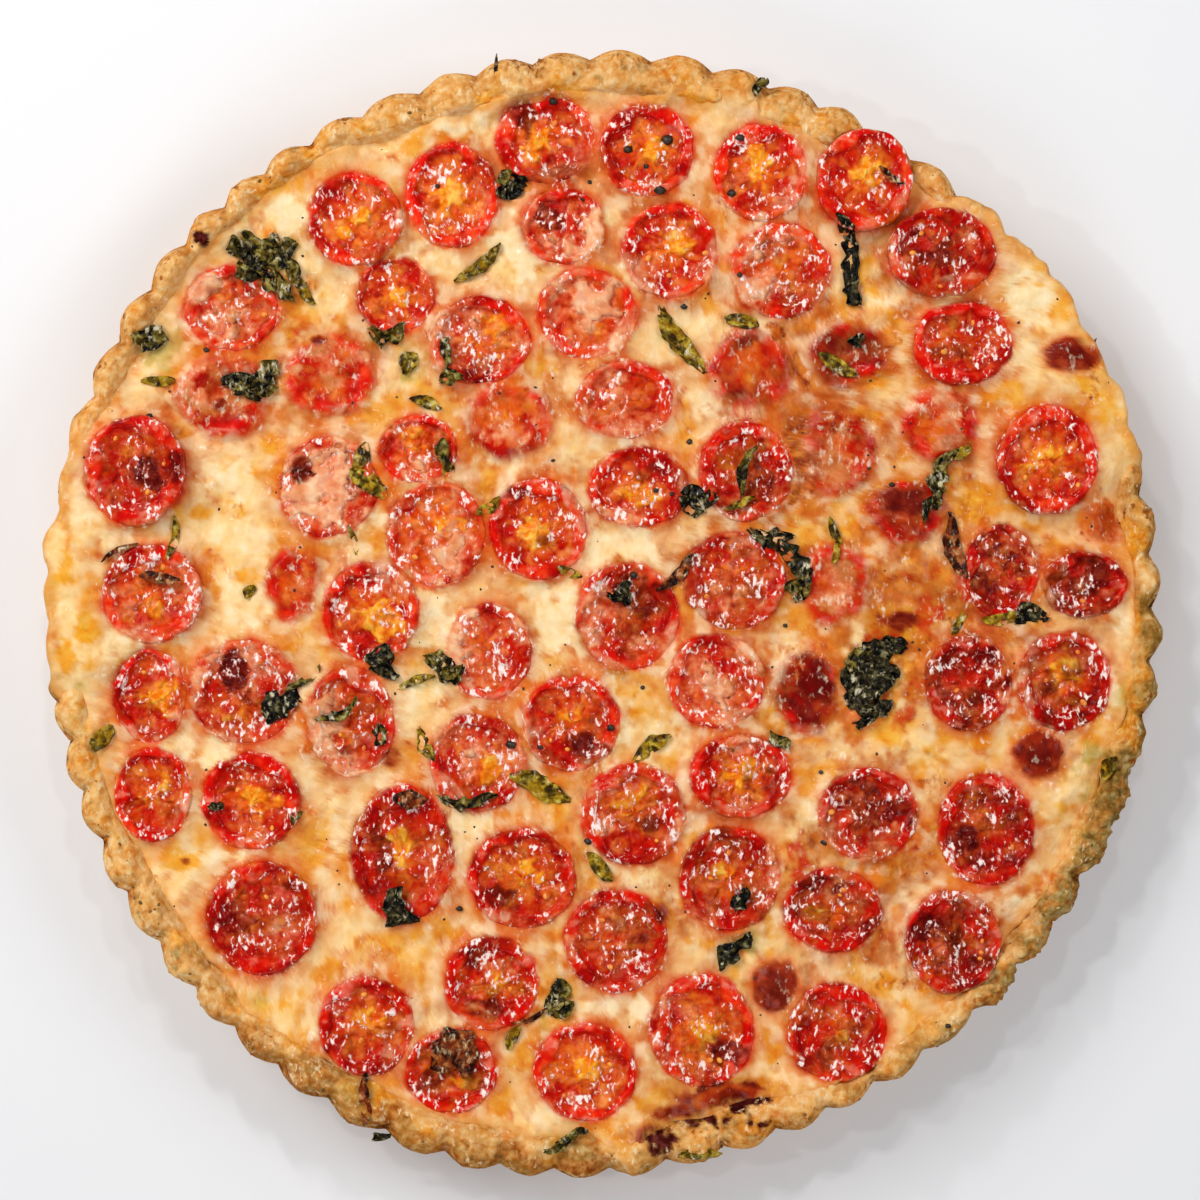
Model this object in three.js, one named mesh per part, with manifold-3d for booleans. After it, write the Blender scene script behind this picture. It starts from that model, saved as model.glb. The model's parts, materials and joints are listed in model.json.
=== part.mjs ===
// A round savoury tart, baked in a fluted tin: a herb shortcrust case, a filling of melted
// mozzarella and cherry tomato halves pressed into it with their cut faces up.
// Millimetres, +Z up. The tart stands on z = 0 with the origin under the middle of its outline.

import {
  BoxGeometry, BufferAttribute, BufferGeometry, Group, MathUtils, Mesh, MeshStandardMaterial,
  Vector2, Vector3,
} from 'three';
import { mergeVertices } from 'three/addons/utils/BufferGeometryUtils.js';
import Module from 'manifold-3d';

// Pastry case
const RIM_RADIUS = 125;
const CENTRE = new Vector2(-1.6, 0.3);
const CASE_HEIGHT = 25.2;
const WALL_FLARE = 7;
const FLOOR = 4;
const RIM_WIDTH = 4.6;
const SLOPE_WIDTH = 4.2;
const SLOPE_DEPTH = 6.5;
const WALL_FOOT = 12;
const RIM_ROUNDING = 1.5;
const RIM_EDGE_DROP = 2.4;
const FLUTES = 60;
const FLUTE_DEPTH = 2.3;
const FIRST_FLUTE = MathUtils.degToRad(4);
const CASE_SIDES = FLUTES * 3;
const CREST_SIDES = 90;
const INNER_SIDES = 60;
const CREST_DROP = 0.4;
// The slow waves by which the hand-lined case leaves a true circle: number, height and turn
const LOBES = [
  { waves: 2, height: 0.53, turn: MathUtils.degToRad(-138) },
  { waves: 3, height: 0.95, turn: MathUtils.degToRad(-20) },
  { waves: 4, height: 0.49, turn: MathUtils.degToRad(76) },
  { waves: 6, height: 0.38, turn: MathUtils.degToRad(-133) },
];
// The rise and fall of the rim
const RIM_CRAGS = [
  { waves: 7, height: 0.5, turn: 1 },
  { waves: 19, height: 0.35, turn: 4 },
];
// Where the rim is wider than elsewhere, and where it has crumbled and sunk
const WIDE_RIM = [
  { at: 88, half: 34, extra: 3.2 },
  { at: 262, half: 40, extra: 2.6 },
  { at: 205, half: 24, extra: 1.4 },
];
const WORN_RIM = [
  { at: 326, half: 26, extra: 1.6 },
  { at: 12, half: 16, extra: 1.2 },
];

// Mozzarella filling
const CHEESE_LEVEL = 21.6;
const CHEESE_RINGS = 10;
const CHEESE_ON_WALL = 0.5;
const CHEESE_CLIMB = 0.7;
const CLIMB_START = 103;
const CLIMB_END = 115;
const LIP_STEP = 0.7;
// Gentle swells of the surface: the height of each, and the lengths over which it rises and falls
const SWELLS = [
  { height: 0.5, x: 13, y: 17 },
  { height: 0.3, x: 8, y: 9 },
];
const SPILL_START = 84;
const SPILL_REACH = 0.9;
const SPILL_ROUNDING = 0.6;
const SPILL_CLEARANCE = 0.8;
const SPILL_THICKNESS = 2.1;
// Where melted cheese has run over the rim
const SPILLS = [
  { at: 174, half: 19, extra: 1 },
  { at: 31, half: 21, extra: 1 },
];

// Tomato halves
const HALF_SIDES = 10;
const HALF_DEPTH = 9.6;
const HALF_STAND = 1.8;
const VEILED_STAND = 1;
const CORE_SHARE = 0.52;
const CORE_SINK = 1.5;
const HEART_SINK = 1;
const BELLY_SHARE = 0.8;
const BELLY_DEPTH = 0.58;
const WRINKLE = 0.035;
const RIM_WAVE = 0.35;
const TILT = MathUtils.degToRad(3.5);
const GAP = 0.8;
const POCKET = 0.5;
const ABOVE_ALL = 40;

// Every half that shows: its middle, width and height seen from above, and how much cheese veils it
const HALVES = [
  { x: -56.5, y: 88.5, w: 21.5, h: 21.5 },
  { x: -35, y: 94, w: 21.5, h: 24 },
  { x: -14, y: 106.5, w: 23, h: 20.5 },
  { x: 9, y: 104, w: 21.5, h: 21 },
  { x: 34.5, y: 99, w: 21.5, h: 22 },
  { x: 57.5, y: 97, w: 21.5, h: 23, lift: 3.5 },
  { x: 74.5, y: 80.5, w: 24.5, h: 20, lift: 1.5 },
  { x: 79.5, y: 60.5, w: 22.5, h: 19 },
  { x: -10, y: 87, w: 19, h: 17.5, veil: 0.4 },
  { x: 14, y: 81.5, w: 22, h: 22, veil: 0.5 },
  { x: 39, y: 77, w: 23.5, h: 22, veil: 0.6 },
  { x: -4.5, y: 67.5, w: 22.5, h: 21, veil: 0.8 },
  { x: -28.5, y: 61.5, w: 23, h: 20, veil: 0.3 },
  { x: -47.5, y: 71.5, w: 18, h: 17.5, veil: 0.2 },
  { x: -84.5, y: 68.5, w: 21.5, h: 19.5, veil: 0.7 },
  { x: -105.5, y: 32, w: 22.5, h: 25 },
  { x: -102, y: 4.5, w: 22.5, h: 22.5 },
  { x: -102.5, y: -18.5, w: 17, h: 21.5, veil: 0.2 },
  { x: -102, y: -40.5, w: 17.5, h: 21.5 },
  { x: -81.5, y: -17.5, w: 25, h: 24, veil: 0.1 },
  { x: -80, y: -42, w: 22.5, h: 22.5 },
  { x: -77.5, y: -68.5, w: 25.5, h: 26 },
  { x: -57.5, y: -24, w: 20.5, h: 25, veil: 0.4 },
  { x: -53, y: 0.5, w: 22, h: 23, veil: 0.1 },
  { x: -38.5, y: 18, w: 23, h: 24, veil: 0.3 },
  { x: -62.5, y: 28.5, w: 22.5, h: 23, veil: 0.6 },
  { x: -42.5, y: 37, w: 18, h: 16, veil: 0.3 },
  { x: 4, y: 48, w: 22.5, h: 18, veil: 0.2 },
  { x: -15.5, y: 19, w: 22.5, h: 23.5 },
  { x: 7, y: 28.5, w: 23, h: 18.5 },
  { x: 31, y: 32, w: 21.5, h: 23 },
  { x: 28.5, y: 7.5, w: 23.5, h: 22.5, veil: 0.2 },
  { x: 4.5, y: -0.5, w: 24, h: 25, veil: 0.3 },
  { x: -26.5, y: -8.5, w: 19.5, h: 22, veil: 0.5 },
  { x: 24.5, y: -15, w: 22.5, h: 21.5, veil: 0.4 },
  { x: -8, y: -24.5, w: 22.5, h: 22, veil: 0.3 },
  { x: -29, y: -33.5, w: 22, h: 22.5, veil: 0.2 },
  { x: -46, y: -54, w: 23.5, h: 31.5 },
  { x: 6, y: -45, w: 24, h: 23.5, veil: 0.2 },
  { x: 30, y: -36.5, w: 23.5, h: 19 },
  { x: -19, y: -59.5, w: 24.5, h: 23 },
  { x: 2, y: -73.5, w: 24, h: 24, veil: 0.6 },
  { x: 27.5, y: -59.5, w: 23.5, h: 24, veil: 0.5 },
  { x: -26, y: -83, w: 21.5, h: 22, veil: 0.1 },
  { x: -54, y: -92.5, w: 22, h: 23 },
  { x: -35, y: -102.5, w: 21, h: 19.5 },
  { x: -5, y: -103, w: 23.5, h: 22.5 },
  { x: 21.5, y: -93.5, w: 24, h: 25.5, veil: 0.1 },
  { x: 51.5, y: -94, w: 22.5, h: 22.5 },
  { x: 77.5, y: -73.5, w: 22, h: 23.5 },
  { x: 50.5, y: -66.5, w: 22.5, h: 19.5, veil: 0.6 },
  { x: 58.5, y: -45, w: 23, h: 21, veil: 0.4 },
  { x: 85, y: -48.5, w: 22, h: 25.5, veil: 0.4 },
  { x: 102.5, y: -15, w: 21.5, h: 23 },
  { x: 81, y: -15.5, w: 20, h: 22, veil: 0.2 },
  { x: 107, y: 6.5, w: 19, h: 15 },
  { x: 88.5, y: 9.5, w: 17, h: 21.5, veil: 0.3 },
  { x: 98.5, y: 34.5, w: 23, h: 25 },
];

// Domes of the cheese: how deep each is rooted and its skirt sunk, and how full its shoulder is
const DOME_ROOT = 2.5;
const DOME_SKIRT = 0.6;
const DOME_SHOULDER = 0.68;
const DOME_FULLNESS = 0.8;

// Halves that the cheese has closed over, so that only a low bulge tells of them
const BULGE_RISE = 1.6;
const BURIED = [
  { x: -62.5, y: 53.5, w: 20, h: 17 },
  { x: -86.5, y: 49, w: 20, h: 18 },
  { x: -70.5, y: 7, w: 12, h: 15 },
  { x: -22.5, y: 43.5, w: 19, h: 16 },
  { x: 52, y: 36.5, w: 15, h: 20 },
  { x: 32, y: 55.5, w: 18, h: 17 },
  { x: 75, y: 42.5, w: 16, h: 16 },
  { x: 44.5, y: -17, w: 14, h: 19 },
  { x: 67, y: 23, w: 16, h: 14 },
  { x: 51, y: 7, w: 15, h: 17 },
  { x: 54, y: 58.5, w: 17, h: 14 },
];

// Blisters where a bubble of cheese has browned
const BLISTER_SIDES = 8;
const BLISTER_RISE = 1.5;
const BLISTERS = [
  { x: 97, y: -31.5, w: 9.5, h: 9 },
  { x: 37.5, y: -83, w: 9, h: 9 },
  { x: 105, y: 57.5, w: 9, h: 6.5 },
  { x: 28.5, y: -109.5, w: 14, h: 6 },
  { x: 58.5, y: -22.5, w: 8, h: 6 },
  { x: 111.5, y: 20, w: 11, h: 9 },
];

// Shreds and leaves of dried basil stuck to the cheese: both ends, and the width in the middle
const LEAF_STEPS = 4;
const LEAF_THICKNESS = 0.7;
const LEAF_STAND = 0.35;
const LEAF_CURL = 0.7;
const LEAF_CURL_WAVES = 1.5;
const LEAF_TIP = 0.3;
const LEAVES = [
  { from: [-84, 84], to: [-66, 72], width: 6.5 },
  { from: [-86, 57], to: [-75, 53], width: 5.5 },
  { from: [13, 68], to: [21, 53], width: 4.5 },
  { from: [49.5, 91], to: [56.5, 71], width: 4.5 },
  { from: [45, 60.5], to: [56, 53], width: 4 },
  { from: [-71, -6], to: [-62, -14], width: 3.5 },
  { from: [40, 19], to: [43, 3], width: 5 },
  { from: [79, 37], to: [71, 24], width: 3.5 },
  { from: [75.5, 22], to: [77, 7], width: 4 },
  { from: [92, -2.5], to: [101, -4], width: 5 },
  { from: [55, -4], to: [66, -20], width: 8.5 },
  { from: [-45, -71], to: [-38, -73], width: 4 },
  { from: [-8, -85], to: [-20, -94], width: 4 },
  { from: [21, -74], to: [33, -79.5], width: 4.5 },
  { from: [-42.5, -12], to: [-34, -20], width: 4 },
  { from: [-104, 62], to: [-98, 52], width: 4 },
  { from: [-91, 19], to: [-84, 11], width: 3 },
  { from: [-40, 52], to: [-29, 47.5], width: 4 },
  { from: [-21, -41], to: [-9, -38], width: 4.5 },
  { from: [13.5, 17], to: [17, 7], width: 3 },
];

const WELD = 1e-4;
const COLOURS = { crust: 0xd2a263, cheese: 0xf3d9a4, tomato: 0xbf2a1c };

const wasm = await Module();
wasm.setup();

/** Returns a repeatable source of numbers from 0 to 1. */
function dice(seed) {
  let state = seed * 2654435761 >>> 0;
  return () => {
    state = Math.imul(state ^ (state >>> 15), state | 1) + 0x6d2b79f5 >>> 0;
    return ((state ^ (state >>> 14)) >>> 0) / 4294967296;
  };
}

/** Returns how far an angle lies inside the marked stretches of the rim, times what each adds. */
function stretch(list, angle) {
  const degrees = MathUtils.radToDeg(angle);
  return list.reduce((sum, { at, half, extra }) => {
    const away = Math.abs(MathUtils.euclideanModulo(degrees - at + 180, 360) - 180);
    return sum + extra * (1 - MathUtils.smoothstep(away, half * 0.6, half));
  }, 0);
}

/** Returns how far a set of slow waves leads away from a circle in a direction. */
function wander(waves, angle) {
  return waves.reduce((sum, wave) => sum + wave.height * Math.cos(wave.waves * angle + wave.turn), 0);
}

/** Joins shared corners and leaves out faces that have shrunk to a line. */
function weld(geometry) {
  geometry.deleteAttribute('normal');
  geometry.deleteAttribute('uv');
  const merged = mergeVertices(geometry, WELD);
  const faces = [];
  for (let i = 0; i < merged.index.count; i += 3) {
    const face = [0, 1, 2].map((corner) => merged.index.getX(i + corner));
    if (new Set(face).size === 3) faces.push(...face);
  }
  merged.setIndex(faces);
  return merged;
}

/** Makes a closed shape of rings of corners, from the pole under it to the pole on top of it. */
function stack(rows) {
  const corners = [];
  const faces = [];
  let below = null;
  for (const { sides, place } of rows) {
    const first = corners.length / 3;
    for (let side = 0; side < sides; side += 1) {
      corners.push(...place((side / sides) * Math.PI * 2).toArray());
    }
    if (below) faces.push(...band(below, { first, sides }));
    below = { first, sides };
  }
  const geometry = new BufferGeometry();
  geometry.setAttribute('position', new BufferAttribute(new Float32Array(corners), 3));
  geometry.setIndex(faces);
  return weld(geometry);
}

/** Joins two rings of corners with triangles, whatever the number of corners in each. */
function band(low, high) {
  const corner = (ring, step) => ring.first + step % ring.sides;
  const steps = (ring) => (ring.sides > 1 ? ring.sides : 0);
  const faces = [];
  let i = 0;
  let j = 0;
  while (i < steps(low) || j < steps(high)) {
    const lowIsBehind = (i + 0.5) / low.sides <= (j + 0.5) / high.sides;
    if (j === steps(high) || (i < steps(low) && lowIsBehind)) {
      faces.push(corner(low, i), corner(low, i + 1), corner(high, j));
      i += 1;
    } else {
      faces.push(corner(low, i), corner(high, j + 1), corner(high, j));
      j += 1;
    }
  }
  return faces;
}

/** Turns a closed geometry into a solid that can be cut and joined. */
function toSolid(geometry) {
  return new wasm.Manifold(new wasm.Mesh({
    numProp: 3,
    vertProperties: new Float32Array(geometry.attributes.position.array),
    triVerts: new Uint32Array(geometry.index.array),
  }));
}

/** Turns a cut solid back into a geometry, leaving out loose scraps. */
function toGeometry(solid) {
  const body = solid.decompose().reduce((best, piece) => (piece.volume() > best.volume() ? piece : best));
  const mesh = body.getMesh();
  const geometry = new BufferGeometry();
  geometry.setAttribute('position', new BufferAttribute(new Float32Array(mesh.vertProperties), 3));
  geometry.setIndex(new BufferAttribute(new Uint32Array(mesh.triVerts), 1));
  return geometry;
}

/** Returns the point at a distance from the middle of the tart's outline. */
function around(angle, radius, height) {
  return new Vector3(CENTRE.x + radius * Math.cos(angle), CENTRE.y + radius * Math.sin(angle), height);
}

/** Radius of the case's outline in a direction, along the middle of the flutes. */
function outlineRadius(angle) {
  return RIM_RADIUS + wander(LOBES, angle);
}

/** Radius of the rim's outer edge in a direction, flutes included. */
function rimRadius(angle) {
  const flute = Math.abs(Math.cos(FLUTES / 2 * (angle - FIRST_FLUTE)));
  return outlineRadius(angle) + FLUTE_DEPTH * (flute - 2 / Math.PI);
}

/** Height of the rim in a direction: uneven, and lower where it has crumbled. */
function rimHeight(angle) {
  return CASE_HEIGHT + wander(RIM_CRAGS, angle) - stretch(WORN_RIM, angle);
}

/** Radius of the case's inner face in a direction at a height. */
function innerRadius(angle, height) {
  const crest = outlineRadius(angle) - RIM_WIDTH - stretch(WIDE_RIM, angle);
  const slopeFoot = rimHeight(angle) - SLOPE_DEPTH;
  if (height > slopeFoot) {
    return MathUtils.mapLinear(height, slopeFoot, rimHeight(angle), crest - SLOPE_WIDTH, crest);
  }
  const foot = Math.min(outlineRadius(angle) - WALL_FOOT, crest) - SLOPE_WIDTH;
  return MathUtils.mapLinear(height, FLOOR, slopeFoot, foot, crest - SLOPE_WIDTH);
}

/** The pastry case, or the same shape grown all round for cutting its neighbours clear of it. */
function caseGeometry(grow) {
  const ring = (sides, profile) => ({ sides, place: (angle) => around(angle, ...profile(angle)) });
  return stack([
    ring(1, () => [0, -grow]),
    ring(CASE_SIDES, (angle) => [rimRadius(angle) - WALL_FLARE + grow, -grow]),
    ring(CASE_SIDES, (angle) => [rimRadius(angle) + grow, rimHeight(angle) - RIM_EDGE_DROP]),
    ring(CASE_SIDES, (angle) => [rimRadius(angle) - RIM_ROUNDING + grow, rimHeight(angle) + grow]),
    ring(CREST_SIDES, (angle) => {
      return [innerRadius(angle, rimHeight(angle)) - grow, rimHeight(angle) - CREST_DROP + grow];
    }),
    ring(INNER_SIDES, (angle) => {
      const height = rimHeight(angle) - SLOPE_DEPTH;
      return [innerRadius(angle, height) - grow, height];
    }),
    ring(INNER_SIDES, (angle) => [innerRadius(angle, FLOOR) - grow, FLOOR + grow]),
    ring(1, () => [0, FLOOR + grow]),
  ]);
}

/** Height of the cheese at a place: gently uneven, and above the rim where it has run over. */
function cheeseHeight(x, y) {
  const angle = Math.atan2(y - CENTRE.y, x - CENTRE.x);
  const radius = Math.hypot(y - CENTRE.y, x - CENTRE.x);
  const rise = (wave) => wave.height * Math.sin(x / wave.x) * Math.cos(y / wave.y);
  const swell = SWELLS.reduce((sum, wave) => sum + rise(wave), 0);
  const climb = CHEESE_CLIMB * MathUtils.smoothstep(radius, CLIMB_START, CLIMB_END);
  const spill = stretch(SPILLS, angle) * MathUtils.smoothstep(radius, SPILL_START, RIM_RADIUS - RIM_WIDTH);
  return MathUtils.lerp(CHEESE_LEVEL + swell + climb, rimHeight(angle) + SPILL_THICKNESS, spill);
}

/** The cheese before anything is pressed into it. */
function cheeseBlank() {
  const clear = (angle, height) => innerRadius(angle, height) - CHEESE_ON_WALL;
  // A corner of the edge goes from its place inside the case to its place over the rim
  const edge = (angle, depth, spilt) => {
    const spill = stretch(SPILLS, angle);
    const height = CHEESE_LEVEL - depth;
    return [MathUtils.lerp(clear(angle, height), spilt[0], spill), MathUtils.lerp(height, spilt[1], spill)];
  };
  const lipHeight = (angle) => rimHeight(angle) + SPILL_CLEARANCE;
  const lipRadius = (angle) => outlineRadius(angle) + SPILL_REACH;
  const slopeFoot = (angle) => rimHeight(angle) - SLOPE_DEPTH;
  const overCrest = (angle) => [clear(angle, rimHeight(angle)), lipHeight(angle)];
  const brim = (angle) => edge(angle, 0, [lipRadius(angle) - SPILL_ROUNDING, 0])[0];
  const sides = CHEESE_RINGS * 6;
  const edgeRow = (profile) => ({ sides, place: (angle) => around(angle, ...profile(angle)) });
  const rows = [
    { sides: 1, place: (angle) => around(angle, 0, FLOOR + CHEESE_ON_WALL) },
    edgeRow((angle) => [clear(angle, FLOOR), FLOOR + CHEESE_ON_WALL]),
    edgeRow((angle) => [clear(angle, slopeFoot(angle)), slopeFoot(angle)]),
    edgeRow((angle) => edge(angle, 2 * LIP_STEP, overCrest(angle))),
    edgeRow((angle) => edge(angle, LIP_STEP, [lipRadius(angle), lipHeight(angle)])),
  ];
  for (let ring = CHEESE_RINGS; ring >= 0; ring -= 1) {
    const onTop = (angle) => {
      const point = around(angle, brim(angle) * ring / CHEESE_RINGS, 0);
      return point.setZ(cheeseHeight(point.x, point.y));
    };
    rows.push({ sides: Math.max(ring * 6, 1), place: onTop });
  }
  return stack(rows);
}

/** How far a half reaches from its middle along a direction in plan. */
function reach(half, direction) {
  return Math.hypot(half.w / 2 * direction.x, half.h / 2 * direction.y);
}

/** The lines at which a half is pressed flat against its close neighbours. */
function pressLines(half) {
  return HALVES.filter((other) => other !== half).flatMap((other) => {
    const direction = new Vector2(other.x - half.x, other.y - half.y);
    const distance = direction.length();
    direction.normalize();
    const own = reach(half, direction);
    const theirs = reach(other, direction);
    if (own + theirs + GAP * 2 < distance) return [];
    return [{ direction, limit: distance * own / (own + theirs) - GAP / 2 }];
  });
}

/** A tomato half with its cut face up, or the same shape grown for cutting the pocket that holds it. */
function halfGeometry(half, seed, grow) {
  const lines = pressLines(half);
  const random = dice(seed);
  const wrinkles = Array.from({ length: HALF_SIDES }, () => [random(), random(), random()]);
  const lean = new Vector2(random() - 0.5, random() - 0.5).multiplyScalar(2 * Math.tan(TILT));
  const { veil = 0, lift = 0 } = half;
  const top = cheeseHeight(half.x, half.y) + MathUtils.lerp(HALF_STAND, VEILED_STAND, veil) + lift;
  const depth = HALF_DEPTH + lift / 2;
  const place = (angle, share, height) => {
    const point = new Vector2(Math.cos(angle) * half.w, Math.sin(angle) * half.h).multiplyScalar(share / 2);
    for (const { direction, limit } of lines) {
      const over = point.dot(direction) - limit;
      if (over > 0) point.addScaledVector(direction, -over);
    }
    if (share > 0) point.setLength(point.length() + grow);
    return new Vector3(half.x + point.x, half.y + point.y, height + point.dot(lean));
  };
  const ring = (share, height) => ({
    sides: HALF_SIDES,
    place: (angle) => {
      const [pull, rise, sink] = wrinkles[Math.round(angle / (Math.PI * 2) * HALF_SIDES)];
      return place(angle, share * (1 - WRINKLE * pull), height(rise, sink));
    },
  });
  const pole = (height) => ({ sides: 1, place: () => place(0, 0, height) });
  const outside = [
    pole(top - depth - grow),
    ring(BELLY_SHARE, () => top - depth * BELLY_DEPTH - grow),
    ring(1, (rise) => top + RIM_WAVE * (rise - 0.5)),
  ];
  const open = [ring(1, () => ABOVE_ALL), pole(ABOVE_ALL)];
  const face = [ring(CORE_SHARE, (rise, sink) => top - CORE_SINK * (0.5 + sink)), pole(top - HEART_SINK)];
  return stack([...outside, ...(grow > 0 ? open : face)]);
}

/** A low dome that is fused to the cheese, for a buried half or a blister. */
function domeGeometry(dome, sides, rise) {
  const level = cheeseHeight(dome.x, dome.y);
  const ring = (count, share, height) => ({
    sides: count,
    place: (angle) => new Vector3(
      dome.x + Math.cos(angle) * dome.w / 2 * share,
      dome.y + Math.sin(angle) * dome.h / 2 * share,
      level + height,
    ),
  });
  return stack([
    ring(1, 0, -DOME_ROOT),
    ring(sides, 1, -DOME_SKIRT),
    ring(sides, DOME_SHOULDER, rise * DOME_FULLNESS),
    ring(1, 0, rise),
  ]);
}

/** A thin wavy leaf or shred lying on the cheese. */
function leafGeometry(leaf, index) {
  const from = new Vector2(...leaf.from);
  const along = new Vector2(...leaf.to).sub(from);
  const across = new Vector2(-along.y, along.x).normalize();
  const geometry = new BoxGeometry(1, 1, 1, LEAF_STEPS, 1, 1);
  const corners = geometry.attributes.position;
  for (let i = 0; i < corners.count; i += 1) {
    const share = corners.getX(i) + 0.5;
    const swell = Math.max(LEAF_TIP, Math.sin(Math.PI * share));
    const point = from.clone().addScaledVector(along, share);
    point.addScaledVector(across, corners.getY(i) * leaf.width * swell);
    const curl = LEAF_CURL * Math.abs(Math.sin(Math.PI * LEAF_CURL_WAVES * share + index));
    const lift = curl * Math.abs(corners.getY(i)) + corners.getZ(i) * LEAF_THICKNESS;
    corners.setXYZ(i, point.x, point.y, cheeseHeight(point.x, point.y) + LEAF_STAND + lift);
  }
  return weld(geometry);
}

/** Wraps a geometry as a named piece with a material of its own. */
function piece(name, geometry, color, roughness) {
  const mesh = new Mesh(geometry, new MeshStandardMaterial({ color, roughness, metalness: 0 }));
  mesh.name = name;
  return mesh;
}

const pockets = HALVES.map((half, index) => toSolid(halfGeometry(half, index + 1, POCKET)));

/** The case, with a dent wherever a tomato half lies on its wall. */
function makeCrust() {
  const plain = toSolid(caseGeometry(0));
  return toGeometry(pockets.reduce((solid, pocket) => solid.subtract(pocket), plain));
}

/** The filling: cheese, bulges, blisters and basil in one, cut clear of the case and the tomatoes. */
function makeCheese() {
  const fused = [
    ...BURIED.map((dome) => domeGeometry(dome, HALF_SIDES, BULGE_RISE)),
    ...BLISTERS.map((dome) => domeGeometry(dome, BLISTER_SIDES, BLISTER_RISE)),
    ...LEAVES.map(leafGeometry),
  ];
  const whole = fused.reduce((solid, lump) => solid.add(toSolid(lump)), toSolid(cheeseBlank()));
  const fitted = whole.subtract(toSolid(caseGeometry(GAP / 2)));
  return toGeometry(pockets.reduce((solid, pocket) => solid.subtract(pocket), fitted));
}

const tart = new Group();
tart.add(piece('crust', makeCrust(), COLOURS.crust, 0.85));
tart.add(piece('cheese', makeCheese(), COLOURS.cheese, 0.4));
HALVES.forEach((half, index) => {
  const name = `tomato_${String(index + 1).padStart(2, '0')}`;
  tart.add(piece(name, halfGeometry(half, index + 1, 0), COLOURS.tomato, 0.3));
});

export default tart;
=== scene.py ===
"""The looks of a round tomato and mozzarella tart, baked in a fluted tin and seen from above.

Shapes are worked out in millimetres and turned into metres when a mesh is made. Patches of
colour are placed where the photograph shows them, in points of its 1200-point frame.
"""

import itertools
import json
import logging
import math
from dataclasses import dataclass, field
from enum import Enum

import bpy
import numpy as np
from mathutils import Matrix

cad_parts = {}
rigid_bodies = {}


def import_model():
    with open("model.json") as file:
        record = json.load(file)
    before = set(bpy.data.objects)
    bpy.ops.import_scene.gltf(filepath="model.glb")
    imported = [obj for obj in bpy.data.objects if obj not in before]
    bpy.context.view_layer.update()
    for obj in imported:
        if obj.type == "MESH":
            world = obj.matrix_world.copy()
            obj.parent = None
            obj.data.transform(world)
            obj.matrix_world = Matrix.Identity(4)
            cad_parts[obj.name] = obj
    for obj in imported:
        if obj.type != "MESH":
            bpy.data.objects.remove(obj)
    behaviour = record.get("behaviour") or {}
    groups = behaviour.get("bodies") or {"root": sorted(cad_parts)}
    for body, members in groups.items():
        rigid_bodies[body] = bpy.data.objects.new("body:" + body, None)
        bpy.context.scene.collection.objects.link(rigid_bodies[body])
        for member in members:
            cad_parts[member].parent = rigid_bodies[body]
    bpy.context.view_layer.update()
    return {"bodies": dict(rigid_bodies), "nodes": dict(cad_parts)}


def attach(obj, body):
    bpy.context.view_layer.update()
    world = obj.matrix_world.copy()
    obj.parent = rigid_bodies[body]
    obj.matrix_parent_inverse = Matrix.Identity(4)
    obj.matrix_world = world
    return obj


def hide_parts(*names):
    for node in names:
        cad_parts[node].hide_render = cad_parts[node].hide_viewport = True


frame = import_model()

log = logging.getLogger("tart")

MM = 0.001
TURN = 2 * math.pi

# How the photograph's points lie on the tart
POINT = 0.2238
ORIGIN_COLUMN = 607.4
ORIGIN_ROW = 614.0
FRAME_POINTS = 1200


def blend(low: np.ndarray, high: np.ndarray, share: np.ndarray) -> np.ndarray:
    """Goes from low at share 0 to high at share 1."""
    return low + (high - low) * share


def ramp(value: np.ndarray, start: float, end: float) -> np.ndarray:
    """Rises smoothly from 0 at start to 1 at end."""
    share = np.clip((value - start) / (end - start), 0, 1)
    return share * share * (3 - 2 * share)


def lattice(cells: np.ndarray, seed: int) -> np.ndarray:
    """Gives every whole-numbered cell a repeatable number from -1 to 1."""
    primes = np.array([73856093, 19349663, 83492791], np.uint64)[: cells.shape[-1]]
    with np.errstate(over="ignore"):
        mixed = (cells.astype(np.int64).astype(np.uint64) * primes).sum(-1)
        mixed = mixed + np.uint64(seed * 2654435761)
        mixed = (mixed ^ (mixed >> np.uint64(15))) * np.uint64(2246822519)
        mixed = (mixed ^ (mixed >> np.uint64(13))) * np.uint64(3266489917)
        mixed = mixed ^ (mixed >> np.uint64(16))
    return (mixed & np.uint64(0xFFFF)).astype(float) / 0xFFFF * 2 - 1


def noise(places: np.ndarray, size: float | tuple, seed: int = 0, layers: int = 1) -> np.ndarray:
    """Returns smooth repeatable noise over places.

    Args:
        places: Points with two or three coordinates, in millimetres.
        size: Width of a lump, or one for each coordinate.
        seed: Picks the pattern.
        layers: Number of patterns, each half as wide and half as strong as the one before.

    Returns:
        A value from about -1 to 1 for each point.
    """
    total = np.zeros(places.shape[:-1])
    strength = 1.0
    spots = places / np.asarray(size, float)
    for layer in range(layers):
        shifted = spots * 2**layer + 31.7 * (seed + layer)
        cell = np.floor(shifted)
        part = shifted - cell
        ease = part**3 * (part * (part * 6 - 15) + 10)
        for corner in itertools.product((0, 1), repeat=places.shape[-1]):
            weight = np.where(corner, ease, 1 - ease).prod(-1)
            total += strength * weight * lattice(cell + np.array(corner), seed + layer)
        strength /= 2
    return total * 1.25


def rgb(red: int, green: int, blue: int) -> np.ndarray:
    """Turns a screen colour of 0 to 255 into linear light."""
    screen = np.array([red, green, blue]) / 255
    return np.where(screen <= 0.04045, screen / 12.92, ((screen + 0.055) / 1.055) ** 2.4)


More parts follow.
